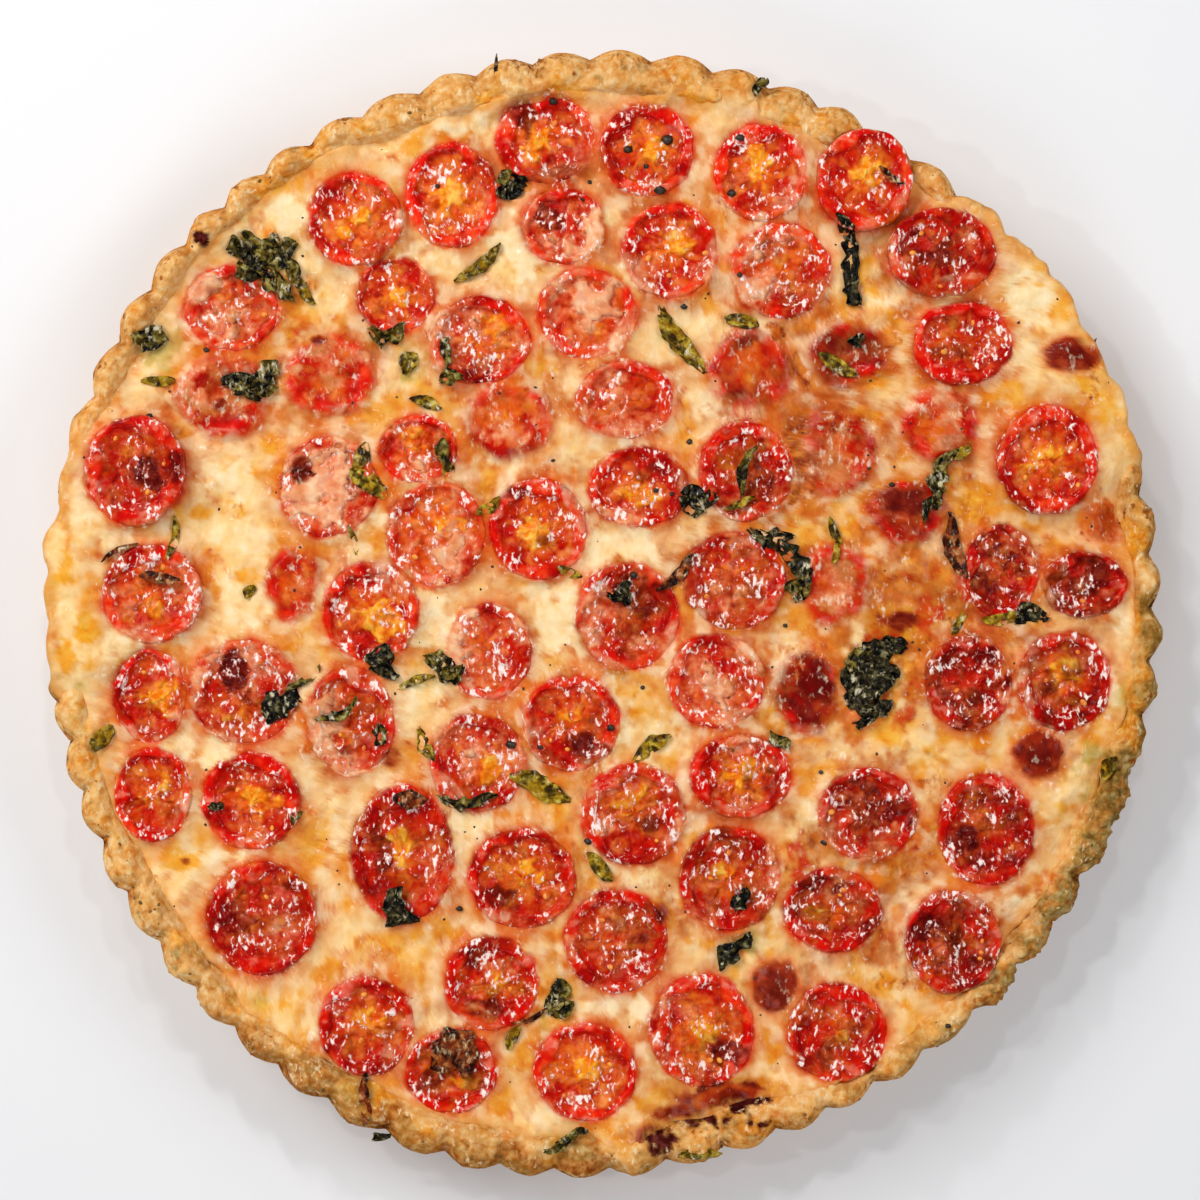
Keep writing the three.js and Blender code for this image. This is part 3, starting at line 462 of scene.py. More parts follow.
# How each half baked, in the order of its solid's number: cheese on it, darkness, glow of its heart
HALF_BAKES = (
    (0.05, 0, 0.9), (0.2, 0, 0.9), (0.05, 0.05, 0.6), (0.05, 0, 0.6), (0, 0, 0.9), (0, 0, 0.5),
    (0.15, 0.2, 0), (0.05, 0.15, 0.1), (0.45, 0.1, 0), (0.2, 0, 0.6), (0.45, 0, 0.4), (0.58, 0, 0.6),
    (0.5, 0, 0.6), (0.35, 0, 0.6), (0.58, 0.05, 0.4), (0.1, 0.25, 0), (0.4, 0.05, 0.4), (0, 0, 0.4),
    (0.05, 0.1, 0.3), (0.5, 0.2, 0.1), (0.4, 0, 0.5), (0.3, 0.25, 0.1), (0.45, 0.25, 0.2),
    (0.2, 0.05, 0.6), (0.5, 0, 0.6), (0.52, 0, 0.5), (0.45, 0, 0.5), (0.5, 0.15, 0.1), (0.05, 0.1, 0.8),
    (0.1, 0.1, 0.4), (0.2, 0.3, 0.2), (0.25, 0.3, 0.3), (0.35, 0.15, 0.1), (0.5, 0, 0.3),
    (0.45, 0.05, 0.2), (0.2, 0.15, 0.5), (0.4, 0.1, 0.7), (0.15, 0.35, 0.6), (0.25, 0.25, 0.5),
    (0.15, 0.15, 0.8), (0.05, 0.2, 0.8), (0.2, 0.3, 0.3), (0.05, 0.45, 0.5), (0.1, 0.2, 0.5),
    (0.05, 0.2, 0.5), (0.1, 0.25, 0.5), (0.1, 0, 0.8), (0.15, 0.1, 0.7), (0, 0.3, 0.2), (0, 0.6, 0.1),
    (0.1, 0.4, 0.6), (0.1, 0.5, 0), (0.15, 0.5, 0.3), (0, 0.6, 0.8), (0, 0.8, 0), (0, 0.8, 0),
    (0.15, 0.6, 0.1), (0.1, 0.1, 0.7),
)


# Halves that the cheese has closed over: middle, width and height in millimetres, film, dark and glow
BURIED = (
    (-62.5, 53.5, 20, 17, 0.3, 0, 0.3), (-86.5, 49, 20, 18, 0.3, 0.5, 0), (-70.5, 7, 12, 15, 0.1, 0, 0.8),
    (-22.5, 43.5, 19, 16, 0.3, 0, 0.6), (52, 36.5, 15, 20, 0.3, 0.3, 0.3), (32, 55.5, 18, 17, 0.1, 0.2, 0.5),
    (75, 42.5, 16, 16, 0.3, 0.1, 0.5), (44.5, -17, 14, 19, 0, 0.8, 0), (67, 23, 16, 14, 0, 0.8, 0),
    (51, 7, 15, 17, 0.3, 0.3, 0.3), (54, 58.5, 17, 14, 0.1, 0.7, 0),
)
# Blisters of the cheese: middle, width and height in millimetres, rise, and how charred each is
BLISTERS = (
    (97, -31.5, 11.5, 11, 1.8, 1), (37.5, -83.5, 10.5, 12, 1.8, 0.95), (104, 58, 12, 7.5, 1.2, 1),
    (28.5, -109.5, 15, 6, 1.1, 1), (58.5, -22.5, 8, 6, 1.2, 0), (112.5, 20.5, 11.5, 9, 1.6, 0.3),
)


class Slot(Enum):
    """The record's material slots."""

    CRUST = "crust"
    CHEESE = "cheese"
    TOMATO = "tomato"


@dataclass(frozen=True)
class Finish:
    """How a baked surface takes the light.

    The mesh carries two colours, one under and one over, and how far the over one has closed.
    The shader breaks up the border between them and adds small pale ticks, which are painted
    glints, where the grain mark (the share of painted glints) is strong.
    """

    name: str
    roughness: float
    coat: float = 0.0
    coat_roughness: float = 0.15
    specular: float = 0.3
    relief: float = 0.1
    relief_size: float = 0.6
    # Glint fields: colours, size and thresholds of the painted highlights, pale ticks laid into the base colour
    glint_colour: tuple[int, int, int] = (255, 236, 222)
    glint_edge: tuple[int, int, int] = (240, 190, 150)
    glint_size: float = 1.1
    glint_stretch: float = 1.7
    glint_start: float = 0.56
    glint_end: float = 0.61
    glint_share: float = 0.6
    mottle: float = 0.3
    mottle_size: float = 1.6
    break_size: float = 1.2
    break_depth: float = 1.3
    break_span: float = 0.2

    def material(self) -> bpy.types.Material:
        """Builds the finish as a material that reads the mesh's colours and marks."""
        material = bpy.data.materials.new(self.name)
        material.use_nodes = True
        nodes, links = material.node_tree.nodes, material.node_tree.links
        shader = nodes["Principled BSDF"]
        place = nodes.new("ShaderNodeTexCoord").outputs["Object"]

        def mark(name: str, output: str) -> bpy.types.NodeSocket:
            """Reads an attribute of the mesh."""
            node = nodes.new("ShaderNodeAttribute")
            node.attribute_name = name
            return node.outputs[output]

        def pattern(size: float, detail: float, stretch: float = 1.0) -> bpy.types.NodeSocket:
            """Makes a noise with lumps of a size in millimetres, longer up the tart than across."""
            squeeze = nodes.new("ShaderNodeMapping")
            squeeze.inputs["Scale"].default_value = (1, 1 / stretch, 1)
            links.new(place, squeeze.inputs["Vector"])
            node = nodes.new("ShaderNodeTexNoise")
            node.inputs["Scale"].default_value = 1 / (size * MM)
            node.inputs["Detail"].default_value = detail
            node.inputs["Distortion"].default_value = 0.4
            links.new(squeeze.outputs["Vector"], node.inputs["Vector"])
            return node.outputs["Fac"]

        def between(value: bpy.types.NodeSocket, *ends: float) -> bpy.types.NodeSocket:
            """Maps a range of values to another, from low and high to low and high, and clamps it."""
            node = nodes.new("ShaderNodeMapRange")
            for name, number in zip(("From Min", "From Max", "To Min", "To Max"), ends):
                node.inputs[name].default_value = number
            links.new(value, node.inputs["Value"])
            return node.outputs["Result"]

        def sums(operation: str, first: bpy.types.NodeSocket,
                 second: bpy.types.NodeSocket) -> bpy.types.NodeSocket:
            """Adds or multiplies two values."""
            node = nodes.new("ShaderNodeMath")
            node.operation = operation
            links.new(first, node.inputs[0])
            links.new(second, node.inputs[1])
            return node.outputs[0]

        def mix(kind: str, share: bpy.types.NodeSocket | None, under: bpy.types.NodeSocket,
                top: bpy.types.NodeSocket | tuple) -> bpy.types.NodeSocket:
            """Mixes two colours."""
            node = nodes.new("ShaderNodeMix")
            node.data_type = "RGBA"
            node.blend_type = kind
            node.inputs["Factor"].default_value = 1.0
            if share:
                links.new(share, node.inputs["Factor"])
            links.new(under, node.inputs["A"])
            if isinstance(top, tuple):
                node.inputs["B"].default_value = top
            else:
                links.new(top, node.inputs["B"])
            return node.outputs["Result"]

        half = self.break_depth / 2
        ragged = sums("ADD", mark("closed", "Fac"),
                      between(pattern(self.break_size, 5, 1.4), 0.2, 0.8, -half, half))
        torn = between(ragged, 0.5 - self.break_span, 0.5 + self.break_span, 0, 1)
        colour = mix("MIX", torn, mark("paint", "Color"), mark("top", "Color"))
        rich = nodes.new("ShaderNodeGamma")
        links.new(colour, rich.inputs["Color"])
        links.new(between(pattern(self.mottle_size, 3), 0.32, 0.68, 1 - self.mottle, 1 + 1.5 * self.mottle),
                  rich.inputs["Gamma"])
        # Painted glints: pale ticks, gathered in clusters and strongest where the grain mark is, mixed into the
        # base colour
        glint_mask = sums("ADD", pattern(self.glint_size, 3, self.glint_stretch),
                     between(mark("grain", "Fac"), 0, 1, -0.13, 0.02))
        glint_mask = sums("ADD", glint_mask, between(pattern(self.glint_size * 5, 2), 0.35, 0.65, -0.1, 0.1))
        glint_mask = between(glint_mask, self.glint_start, self.glint_end, 0, 1)
        glints = nodes.new("ShaderNodeValToRGB")
        for stop, tone in zip(glints.color_ramp.elements, (self.glint_edge, self.glint_colour)):
            stop.color = (*rgb(*tone), 1)
        links.new(glint_mask, glints.inputs["Fac"])
        colour = mix("MIX", between(glint_mask, 0, 1, 0, self.glint_share), rich.outputs["Color"],
                     glints.outputs["Color"])
        links.new(colour, shader.inputs["Base Color"])
        rough = between(pattern(self.mottle_size, 3), 0.3, 0.7, self.roughness * 0.7, self.roughness * 1.3)
        links.new(rough, shader.inputs["Roughness"])
        shader.inputs["Coat Weight"].default_value = self.coat
        shader.inputs["Coat Roughness"].default_value = self.coat_roughness
        shader.inputs["Specular IOR Level"].default_value = self.specular
        bump = nodes.new("ShaderNodeBump")
        bump.inputs["Strength"].default_value = 1.0
        bump.inputs["Distance"].default_value = self.relief * MM
        links.new(pattern(self.relief_size, 4, 1.5), bump.inputs["Height"])
        links.new(bump.outputs["Normal"], shader.inputs["Normal"])
        return material


FLESH = Finish("tomato_flesh", 0.3, coat=0.1, coat_roughness=0.1, specular=0.04, relief=0.36,
               relief_size=1.3, glint_colour=(255, 242, 234), glint_edge=(238, 98, 70), glint_size=0.95,
               glint_start=0.525, glint_end=0.655, glint_share=0.9, mottle=0.26, mottle_size=2.4,
               break_depth=0.6, break_span=0.45)
MELT = Finish("melted_cheese", 0.34, coat=0.12, coat_roughness=0.12, specular=0.05, relief=0.28,
              relief_size=1.5, glint_colour=(255, 248, 230), glint_edge=(250, 216, 166), glint_size=1.1,
              glint_start=0.56, glint_end=0.74, glint_share=0.5, mottle=0.17, mottle_size=3.0,
              break_depth=1.0, break_span=0.3)
PASTRY = Finish("shortcrust", 0.8, specular=0.06, relief=0.4, relief_size=1.2, glint_colour=(250, 226, 176),
                glint_start=0.55, glint_end=0.66, glint_share=0.6, mottle=0.28, mottle_size=1.6)
HERB = Finish("dried_basil", 0.3, coat=0.15, coat_roughness=0.12, specular=0.05, relief=0.5, relief_size=0.8,
              glint_colour=(238, 226, 190), glint_edge=(140, 124, 70), glint_size=1.1, glint_start=0.54,
              glint_end=0.7, glint_share=0.75, mottle=0.5, mottle_size=1.6, break_size=1.0, break_span=0.3)


@dataclass
class Look:
    """The colours of some corners of a mesh and how they meet, as the finish reads them."""

    under: np.ndarray
    top: np.ndarray
    closed: np.ndarray
    # grain: how densely painted glints (pale ticks) lie at each corner
    grain: np.ndarray

    def joined(self, spare: int) -> "Look":
        """Repeats the last corner's look for spare corners that are added after it."""
        rows = [np.concatenate([part, np.repeat(part[-1:], spare, 0)])
                for part in (self.under, self.top, self.closed, self.grain)]
        return Look(*rows)


def grid_faces(rows: int, columns: int, closed: bool) -> np.ndarray:
    """Joins rows of corners with four-sided faces; a closed row meets itself again."""
    first = np.arange(columns if closed else columns - 1)
    following = (first + 1) % columns
    row = np.arange(rows - 1)[:, None] * columns
    corners = [row + first, row + columns + first, row + columns + following, row + following]
    return np.stack(corners, -1).reshape(-1, 4)


def make_mesh(name: str, corners: np.ndarray, faces: list, finish: bpy.types.Material,
              look: Look | None = None, **marks: np.ndarray) -> bpy.types.Object:
    """Makes an object of corners in millimetres, with its look and its other marks.

    Args:
        name: Name of the object.
        corners: One row of three coordinates for each corner.
        faces: Lists of corner numbers.
        finish: The material.
        look: Colours of each corner.
        marks: A number for each corner, by the name of the attribute.

    Returns:
        The new object, in the scene.
    """
    mesh = bpy.data.meshes.new(name)
    mesh.from_pydata((corners * MM).tolist(), [], faces)
    mesh.polygons.foreach_set("use_smooth", [True] * len(mesh.polygons))
    if look:
        for attribute, colour in (("paint", look.under), ("top", look.top)):
            whole = np.concatenate([np.clip(colour, 0, 1), np.ones((len(colour), 1))], 1)
            mesh.attributes.new(attribute, "FLOAT_COLOR", "POINT").data.foreach_set("color", whole.ravel())
        # grain carries the share of painted glints to the shader
        marks = {"closed": look.closed, "grain": look.grain, **marks}
    for mark, values in marks.items():
        mesh.attributes.new(mark, "FLOAT", "POINT").data.foreach_set("value", np.asarray(values, float))
    mesh.materials.append(finish)
    mesh.update()
    piece = bpy.data.objects.new(name, mesh)
    bpy.context.scene.collection.objects.link(piece)
    return piece


def hand_over(piece: bpy.types.Object, slot: Slot, *nodes: str) -> None:
    """Lets a finished piece ride on the tart, in place of nodes where it stands for them."""
    if nodes:
        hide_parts(*nodes)
    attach(piece, "root" if "root" in frame["bodies"] else next(iter(frame["bodies"])))
    log.info("%s: %d faces", piece.name, len(piece.data.polygons))


@dataclass
class TomatoHalf:
    """A cherry tomato half with its cut face up, fitted to its solid."""

    name: str
    number: int
    film: float
    dark: float
    glow: float
    sides: int = 104
    face_rows: int = 28
    x: float = field(init=False)
    y: float = field(init=False)
    top: float = field(init=False)
    lean: tuple[float, float] = field(init=False)
    depth: float = field(init=False)
    shape: np.ndarray = field(init=False)

    # The belly: share of the way from the middle to the skin, and share of the depth
    belly_shares: tuple = (1.0, 1.01, 0.985, 0.93, 0.82, 0.64, 0.38, 0.0)
    belly_depths: tuple = (0.04, 0.14, 0.28, 0.42, 0.58, 0.77, 0.94, 1.0)

    def __post_init__(self) -> None:
        """Reads the half's place, outline and lean from its solid."""
        solid = frame["nodes"][self.name].data
        corners = np.empty(len(solid.vertices) * 3)
        solid.vertices.foreach_get("co", corners)
        corners = np.unique(np.round(corners.reshape(-1, 3) / MM, 3), axis=0)
        low, high = corners.min(0), corners.max(0)
        self.x, self.y = (low[:2] + high[:2]) / 2
        flat = corners[:, :2] - (self.x, self.y)
        share = np.hypot(*(flat / ((high - low)[:2] / 2)).T)
        rim = (corners[:, 2] > high[2] - 3.2) & (share > 0.66)
        level = np.linalg.lstsq(np.c_[flat[rim], np.ones(rim.sum())], corners[rim, 2], rcond=None)[0]
        self.lean, self.top = (level[0], level[1]), level[2]
        self.depth = self.top - low[2]
        ring = flat[rim][np.argsort(np.arctan2(flat[rim, 1], flat[rim, 0]))]
        dense = np.concatenate([blend(a, b, np.linspace(0, 1, 12, endpoint=False)[:, None])
                                for a, b in zip(ring, np.roll(ring, -1, 0))])
        turns = np.linspace(0, TURN, 128, endpoint=False)
        straight = np.interp(turns, np.arctan2(dense[:, 1], dense[:, 0]) % TURN,
                             np.hypot(*dense.T), period=TURN)
        waves = np.fft.rfft(straight)
        waves[6:] = 0
        self.shape = np.fft.irfft(waves, 128) * 1.035

    def reach(self, turn: np.ndarray) -> np.ndarray:
        """Distance from the middle to the skin in a direction."""
        wobble = 0.12 * np.cos(7 * turn + self.number) + 0.08 * np.cos(12 * turn + 2 * self.number)
        around = np.interp(turn % TURN, np.linspace(0, TURN, 129), np.append(self.shape, self.shape[0]))
        return around + wobble

    def shares(self, x: np.ndarray, y: np.ndarray) -> tuple[np.ndarray, np.ndarray]:
        """Returns how far out places lie, 1 being the skin, and their distance from the skin."""
        across, up = x - self.x, y - self.y
        far = np.hypot(across, up)
        reach = self.reach(np.arctan2(up, across))
        return far / reach, far - reach

    def level(self, x: np.ndarray, y: np.ndarray) -> np.ndarray:
        """Height of the plane of the rim."""
        return self.top + (x - self.x) * self.lean[0] + (y - self.y) * self.lean[1]

    def face(self, x: np.ndarray, y: np.ndarray, share: np.ndarray) -> np.ndarray:
        """Height of the cut face against the plane of its rim."""
        cut = CutFace(self, x, y, share)
        dome = np.interp(share, (0.9, 0.95, 0.98, 1.0), (0.1, 0.08, -0.12, -0.5))
        sunk = (-0.95 - 0.55 * cut.chamber + 0.5 * cut.heart + 0.35 * cut.middling + 0.16 * cut.fine
                - 0.35 * cut.crease)
        ring = dome + 0.16 * noise(cut.places, 3.2, self.number + 5, 2)
        return np.where(share < 1.001, blend(sunk, ring, cut.ring), dome)

    def build(self, finish: bpy.types.Material, baked: "Baked") -> bpy.types.Object:
        """Makes the half: its cut face with skin, flesh, seed chambers and heart, and its belly."""
        turns = np.linspace(0, TURN, self.sides, endpoint=False)
        shares = np.linspace(0, 1, self.face_rows + 1)[1:] ** 0.93
        below = np.array(self.belly_shares[1:-1])
        share = np.concatenate([shares, below])[:, None] * np.ones(self.sides)
        reach = self.reach(turns)
        x = (self.x + share * reach * np.cos(turns)).ravel()
        y = (self.y + share * reach * np.sin(turns)).ravel()
        face_count = len(shares) * self.sides
        height = np.repeat(-np.concatenate([shares * 0, self.belly_depths[1:-1]]) * self.depth, self.sides)
        face_x, face_y, share = x[:face_count], y[:face_count], share.ravel()[:face_count]
        height[:face_count] = self.face(face_x, face_y, share)
        z = self.level(x, y) + height
        middle_height = float(self.face(np.array([self.x]), np.array([self.y]), np.array([0.01]))[0])
        middle = [[self.x, self.y, self.top - self.depth], [self.x, self.y, self.top + middle_height]]
        corners = np.concatenate([np.stack([x, y, z], 1), middle])
        count = len(x)
        ring = np.arange(self.sides)
        following = (ring + 1) % self.sides
        last = count - self.sides
        faces = grid_faces(len(shares) + len(below), self.sides, True).tolist()
        faces += np.stack([np.full(self.sides, count + 1), ring, following], 1).tolist()
        faces += np.stack([last + ring, np.full(self.sides, count), last + following], 1).tolist()
        corner_x, corner_y = corners[:, 0], corners[:, 1]
        look = baked.look(corner_x, corner_y)
        skin = np.arange(len(corners)) >= face_count
        skin[-1] = False
        look.under = over(look.under, CutFace.SKIN_DARK, skin * 0.8)
        look.closed = np.where(skin, -1, look.closed)
        chamber = np.zeros(len(corners))
        chamber[:face_count] = CutFace(self, face_x, face_y, share).chamber * (look.closed[:face_count] < 0.5)
        piece = make_mesh(self.name + "_flesh", corners, faces, finish, look, chamber=chamber)
        hand_over(piece, Slot.TOMATO, self.name)
        return piece


@dataclass
class Buried:
    """A half that the cheese has closed over: its middle, width and height in plan."""

    x: float
    y: float
    wide: float
    tall: float
    film: float
    dark: float
    glow: float
    number: int
    rise: float = 1.5

    def shares(self, x: np.ndarray, y: np.ndarray) -> tuple[np.ndarray, np.ndarray]:
        """Returns how far out places lie, 1 being the edge, and their distance from the edge."""
        turn = np.arctan2(y - self.y, x - self.x)
        share = np.hypot((x - self.x) / self.wide * 2, (y - self.y) / self.tall * 2)
        share = share * (1 + 0.05 * np.cos(3 * turn + self.number) + 0.03 * np.cos(5 * turn))
        return share, (share - 1) * (self.wide + self.tall) / 4

    def lift(self, x: np.ndarray, y: np.ndarray) -> np.ndarray:
        """How far the half raises the cheese: a ring with a hollow inside it."""
        share = self.shares(x, y)[0]
        dome = np.sqrt(np.clip(1 - (share / 1.12) ** 2, 0, 1)) ** 0.8
        ring = np.exp(-(((share - 0.82) / 0.14) ** 2))
        return self.rise * dome + 0.35 * ring - 0.45 * (1 - ramp(share, 0.3, 0.75))


class CutFace:
    """Where the parts of a cut face lie: the ring of skin and wall, seed chambers and heart."""

    SKIN = rgb(220, 18, 2)
    SKIN_BRIGHT = rgb(242, 60, 20)
    SKIN_DARK = rgb(150, 2, 0)
    PULP = rgb(198, 24, 2)
    JUICE = rgb(168, 5, 0)
    TAN = rgb(224, 94, 20)
    WALL = rgb(236, 126, 46)
    CREASE = rgb(128, 10, 2)
    HEART = rgb(242, 140, 18)
    HEART_PALE = rgb(253, 196, 70)
    DEEP = rgb(104, 2, 1)
    SHEEN = rgb(242, 142, 116)
    THIN = rgb(218, 96, 46)
    MILKY = rgb(236, 150, 104)
    THICK = rgb(248, 198, 152)

    def __init__(self, disc: "TomatoHalf | Buried", x: np.ndarray, y: np.ndarray, share: np.ndarray) -> None:
        """Works out the parts for places on the face of a half."""
        self.places = np.stack([x, y], -1)
        self.x, self.y, self.share = x, y, share
        self.dark, self.glow = disc.dark, disc.glow
        number = disc.number
        turn = np.arctan2(y - disc.y, x - disc.x)
        draw = np.random.default_rng(number)
        arms = int(draw.integers(3, 6))
        star = np.cos(arms * (turn + draw.uniform(0, TURN)) + 1.6 * noise(self.places, 6, number + 9))
        self.middling = noise(self.places, 3.4, number + 60, 3)
        self.fine = noise(self.places, 1.0, number + 120, 2)
        border = 0.77 + 0.05 * star + 0.09 * noise(self.places, 5.5, number + 3, 2)
        self.ring = ramp(share, border - 0.05, border + 0.05)
        self.chamber = (ramp(share, 0.22, 0.36) * (1 - ramp(share, border - 0.2, border - 0.06))
                        * ramp(star + 0.5 * self.middling, -0.4, 0.3))
        lines = np.abs(noise(self.places, 3.4, number + 31, 2))
        self.crease = (1 - ramp(lines, 0.0, 0.14)) * (1 - 0.7 * self.ring)
        self.core = np.exp(-((share / 0.5) ** 2))
        self.walls = (ramp(star + 0.5 * self.middling, 0.2, 0.8) * ramp(share, 0.1, 0.25)
                      * (1 - ramp(share, border - 0.15, border)))
        self.heart = ramp(cover(HEARTS, x, y, 0.4, number) * (0.4 + 0.6 * disc.glow)
                          + 0.5 * disc.glow * self.core + 0.25 * self.middling + 0.2 * star * self.core, 0.25, 0.95)

    def flesh(self) -> np.ndarray:
        """Returns the colours of the bare face."""
        deep = ramp(cover(DEEPS, self.x, self.y, 0.3, 5) + 0.2 * self.middling, 0.3, 0.9)
        broad = noise(self.places, 7, 8, 2)
        paint = self.PULP + np.zeros((len(self.x), 3))
        tan = 1.1 * self.core * (0.4 + self.glow) + 0.25 * self.middling + 0.25 * broad
        paint = over(paint, self.TAN, ramp(tan, 0.05, 0.75) * 0.9)
        paint = over(paint, self.JUICE, self.chamber * ramp(-self.fine - 0.5 * self.middling, -0.3, 0.5) * 0.7)
        paint = over(paint, self.WALL, self.walls * (0.25 + 0.4 * self.glow))
        # Painted shade: darker red along the sunken creases
        paint = over(paint, self.CREASE, self.crease * 0.35)
        paint = over(paint, self.HEART, self.heart * 0.95)
        paint = over(paint, self.HEART_PALE, ramp(self.heart + 0.5 * self.fine, 0.8, 1.5) * 0.7)
        skin = over(self.SKIN + np.zeros((len(self.x), 3)), self.SKIN_BRIGHT,
                    ramp(self.middling + 0.5 * broad, -0.1, 0.6) * 0.8)
        skin = over(skin, self.SKIN_DARK, ramp(-broad, 0.1, 0.7) * 0.7)
        paint = blend(paint, skin, self.ring[:, None])
        paint = over(paint, self.DEEP, self.dark * (0.6 + 0.5 * self.middling - 0.3 * self.core * self.heart))
        # Painted shade: dark red spots for the shade in small creases between lumps of flesh
        pit_shade = noise(self.places, (1.5, 2.4), 45, 2)
        # Painted sheen: pinkish highlight patches where the wet mask is, strongest on the ring
        wet = ramp(noise(self.places, (2.4, 1.3), 46, 2), 0.42, 0.66) * ramp(broad, -0.4, 0.5)
        paint = over(paint, self.DEEP, ramp(pit_shade, 0.45, 0.9) * 0.28 * (1 - 0.8 * self.heart))
        paint = over(paint, self.SHEEN, wet * (0.16 + 0.28 * self.ring))
        return over(paint, self.DEEP, deep * 0.85)


class Baked:
    """The colours of the whole tart seen from above, so that they run on from piece to piece."""

    BASE = rgb(247, 206, 140)
    PALE = rgb(250, 225, 178)
    GOLD = rgb(238, 164, 38)
    WARM = rgb(204, 114, 52)
    ORANGE = rgb(222, 92, 20)
    JUICE = rgb(182, 44, 10)
    SCORCH = rgb(172, 62, 14)
    OLIVE = rgb(178, 158, 60)
    TOAST = rgb(136, 44, 10)
    TOAST_PALE = rgb(206, 112, 34)
    CHAR_RING = rgb(158, 44, 12)
    CHAR = rgb(98, 12, 8)
    SINGED = rgb(206, 122, 30)
    GLAZE_AND_SHADE = rgb(154, 74, 32)

    def __init__(self, halves: list[TomatoHalf], buried: list[Buried], blisters: "list[Dome]") -> None:
        """Keeps the halves, in the open and under the cheese, and the blisters."""
        self.halves = halves
        self.buried = buried
        self.blisters = blisters

    def look(self, x: np.ndarray, y: np.ndarray) -> Look:
        """Returns the look of the tart's top at places: cheese, halves and what the heat did to both."""
        places = np.stack([x, y], -1)
        broad = noise(places, 17, 21, 3)
        middling = noise(places, 3.6, 22, 3)
        fine = noise(places, 1.2, 23, 2)
        under, top, closed = self.cheese(places, broad, middling, fine)
        # grain here is the share of painted glints on the cheese
        grain = 0.15 + 0.35 * ramp(broad + middling, 0.1, 0.9)
        near = np.full_like(x, 99.0)
        warm = cover(WARMS, x, y, 0.3, 35)
        open_cream = 1 - 0.95 * ramp(cover(CREAMS, x, y, 0.35, 31) + 0.2 * middling, 0.2, 0.9)
        for disc in [*self.buried, *self.halves]:
            box = np.flatnonzero((np.abs(x - disc.x) < 20) & (np.abs(y - disc.y) < 23))
            share, gap = disc.shares(x[box], y[box])
            close = gap < 6
            box, share, gap = box[close], share[close], gap[close]
            if not len(box):
                continue
            ragged = 0.4 * middling[box] + 0.3 * fine[box]
            soft = 1.5 if isinstance(disc, Buried) else 0.7
            inside = 1 - ramp(gap + soft * ragged, -soft, soft)
            cut = CutFace(disc, x[box], y[box], share)
            film = self.film(disc, places[box], share) + 0.12 * fine[box]
            halo = np.exp(-np.clip(gap, 0, None) / 1.8) * ramp(noise(places[box], 8, 25, 2), -0.7, 0.3)
            glow = np.exp(-np.clip(gap, 0, None) / 4.5)
            juice = np.exp(-np.clip(gap, 0, None) / 0.7) * ramp(noise(places[box], 5, 28, 2), -0.1, 0.5)
            around = over(over(under[box], self.WARM, glow * 0.35 * open_cream[box]),
                          self.ORANGE, halo * 0.95 * open_cream[box])
            scorched = glow * ramp(noise(places[box], 4.5, 40, 3), 0.1, 0.9)
            around = over(around, self.SCORCH, scorched * (0.3 + 0.45 * warm[box]) * open_cream[box])
            # Painted highlight: pale cream lumps in the cheese close round each half
            around = over(around, self.PALE, glow * ramp(noise(places[box], 3.4, 44, 2), 0.25, 0.8) * 0.6)
            around = over(around, self.JUICE, juice * 0.6)
            under[box] = blend(around, cut.flesh(), inside[:, None])
            milky = blend(cut.THIN, cut.MILKY, ramp(film + 0.2 * fine[box], 0.25, 0.85)[:, None])
            milky = over(milky, cut.THICK, ramp(film + 0.2 * fine[box], 0.8, 1.6))
            milky = over(milky, cut.PULP, ramp(fine[box] - 0.3 * middling[box], 0.15, 0.75) * 0.45)
            milky = over(milky, self.WARM, warm[box] * ramp(middling[box] + 0.5 * fine[box], -0.2, 0.6) * 0.8)
            top[box] = blend(top[box], milky, inside[:, None])
            closed[box] = blend(closed[box], film, inside)
            # Painted glints on the halves: denser on the ring and where cheese film lies, and just outside each
            # skin
            shine = 0.5 + 0.1 * cut.ring + 0.3 * np.clip(film, 0, 1) + 0.15 * middling[box]
            grain[box] = blend(np.maximum(grain[box], 0.75 * np.exp(-np.clip(gap, 0, None) / 1.2)), shine, inside)
            near[box] = np.minimum(near[box], gap)
        return self.scorched(Look(under, top, closed, grain), x, y, near, middling, fine)

    @staticmethod
    def film(disc: "TomatoHalf | Buried", places: np.ndarray, share: np.ndarray) -> np.ndarray:
        """How thickly cheese lies over places on the face of a half: over 1 it hides the face."""
        veil = cover(VEILS, places[:, 0], places[:, 1], 0.45, 4)
        middling = noise(places, 3.6, 22, 3)
        lap = noise(places, 10, 27, 2) + 0.25 * middling
        edge = ramp(share, 0.84, 1.02) * ramp(lap, -0.05, 0.5)
        return veil + 1.5 * disc.film - 0.45 + 0.22 * middling + 0.25 * lap + 0.4 * edge

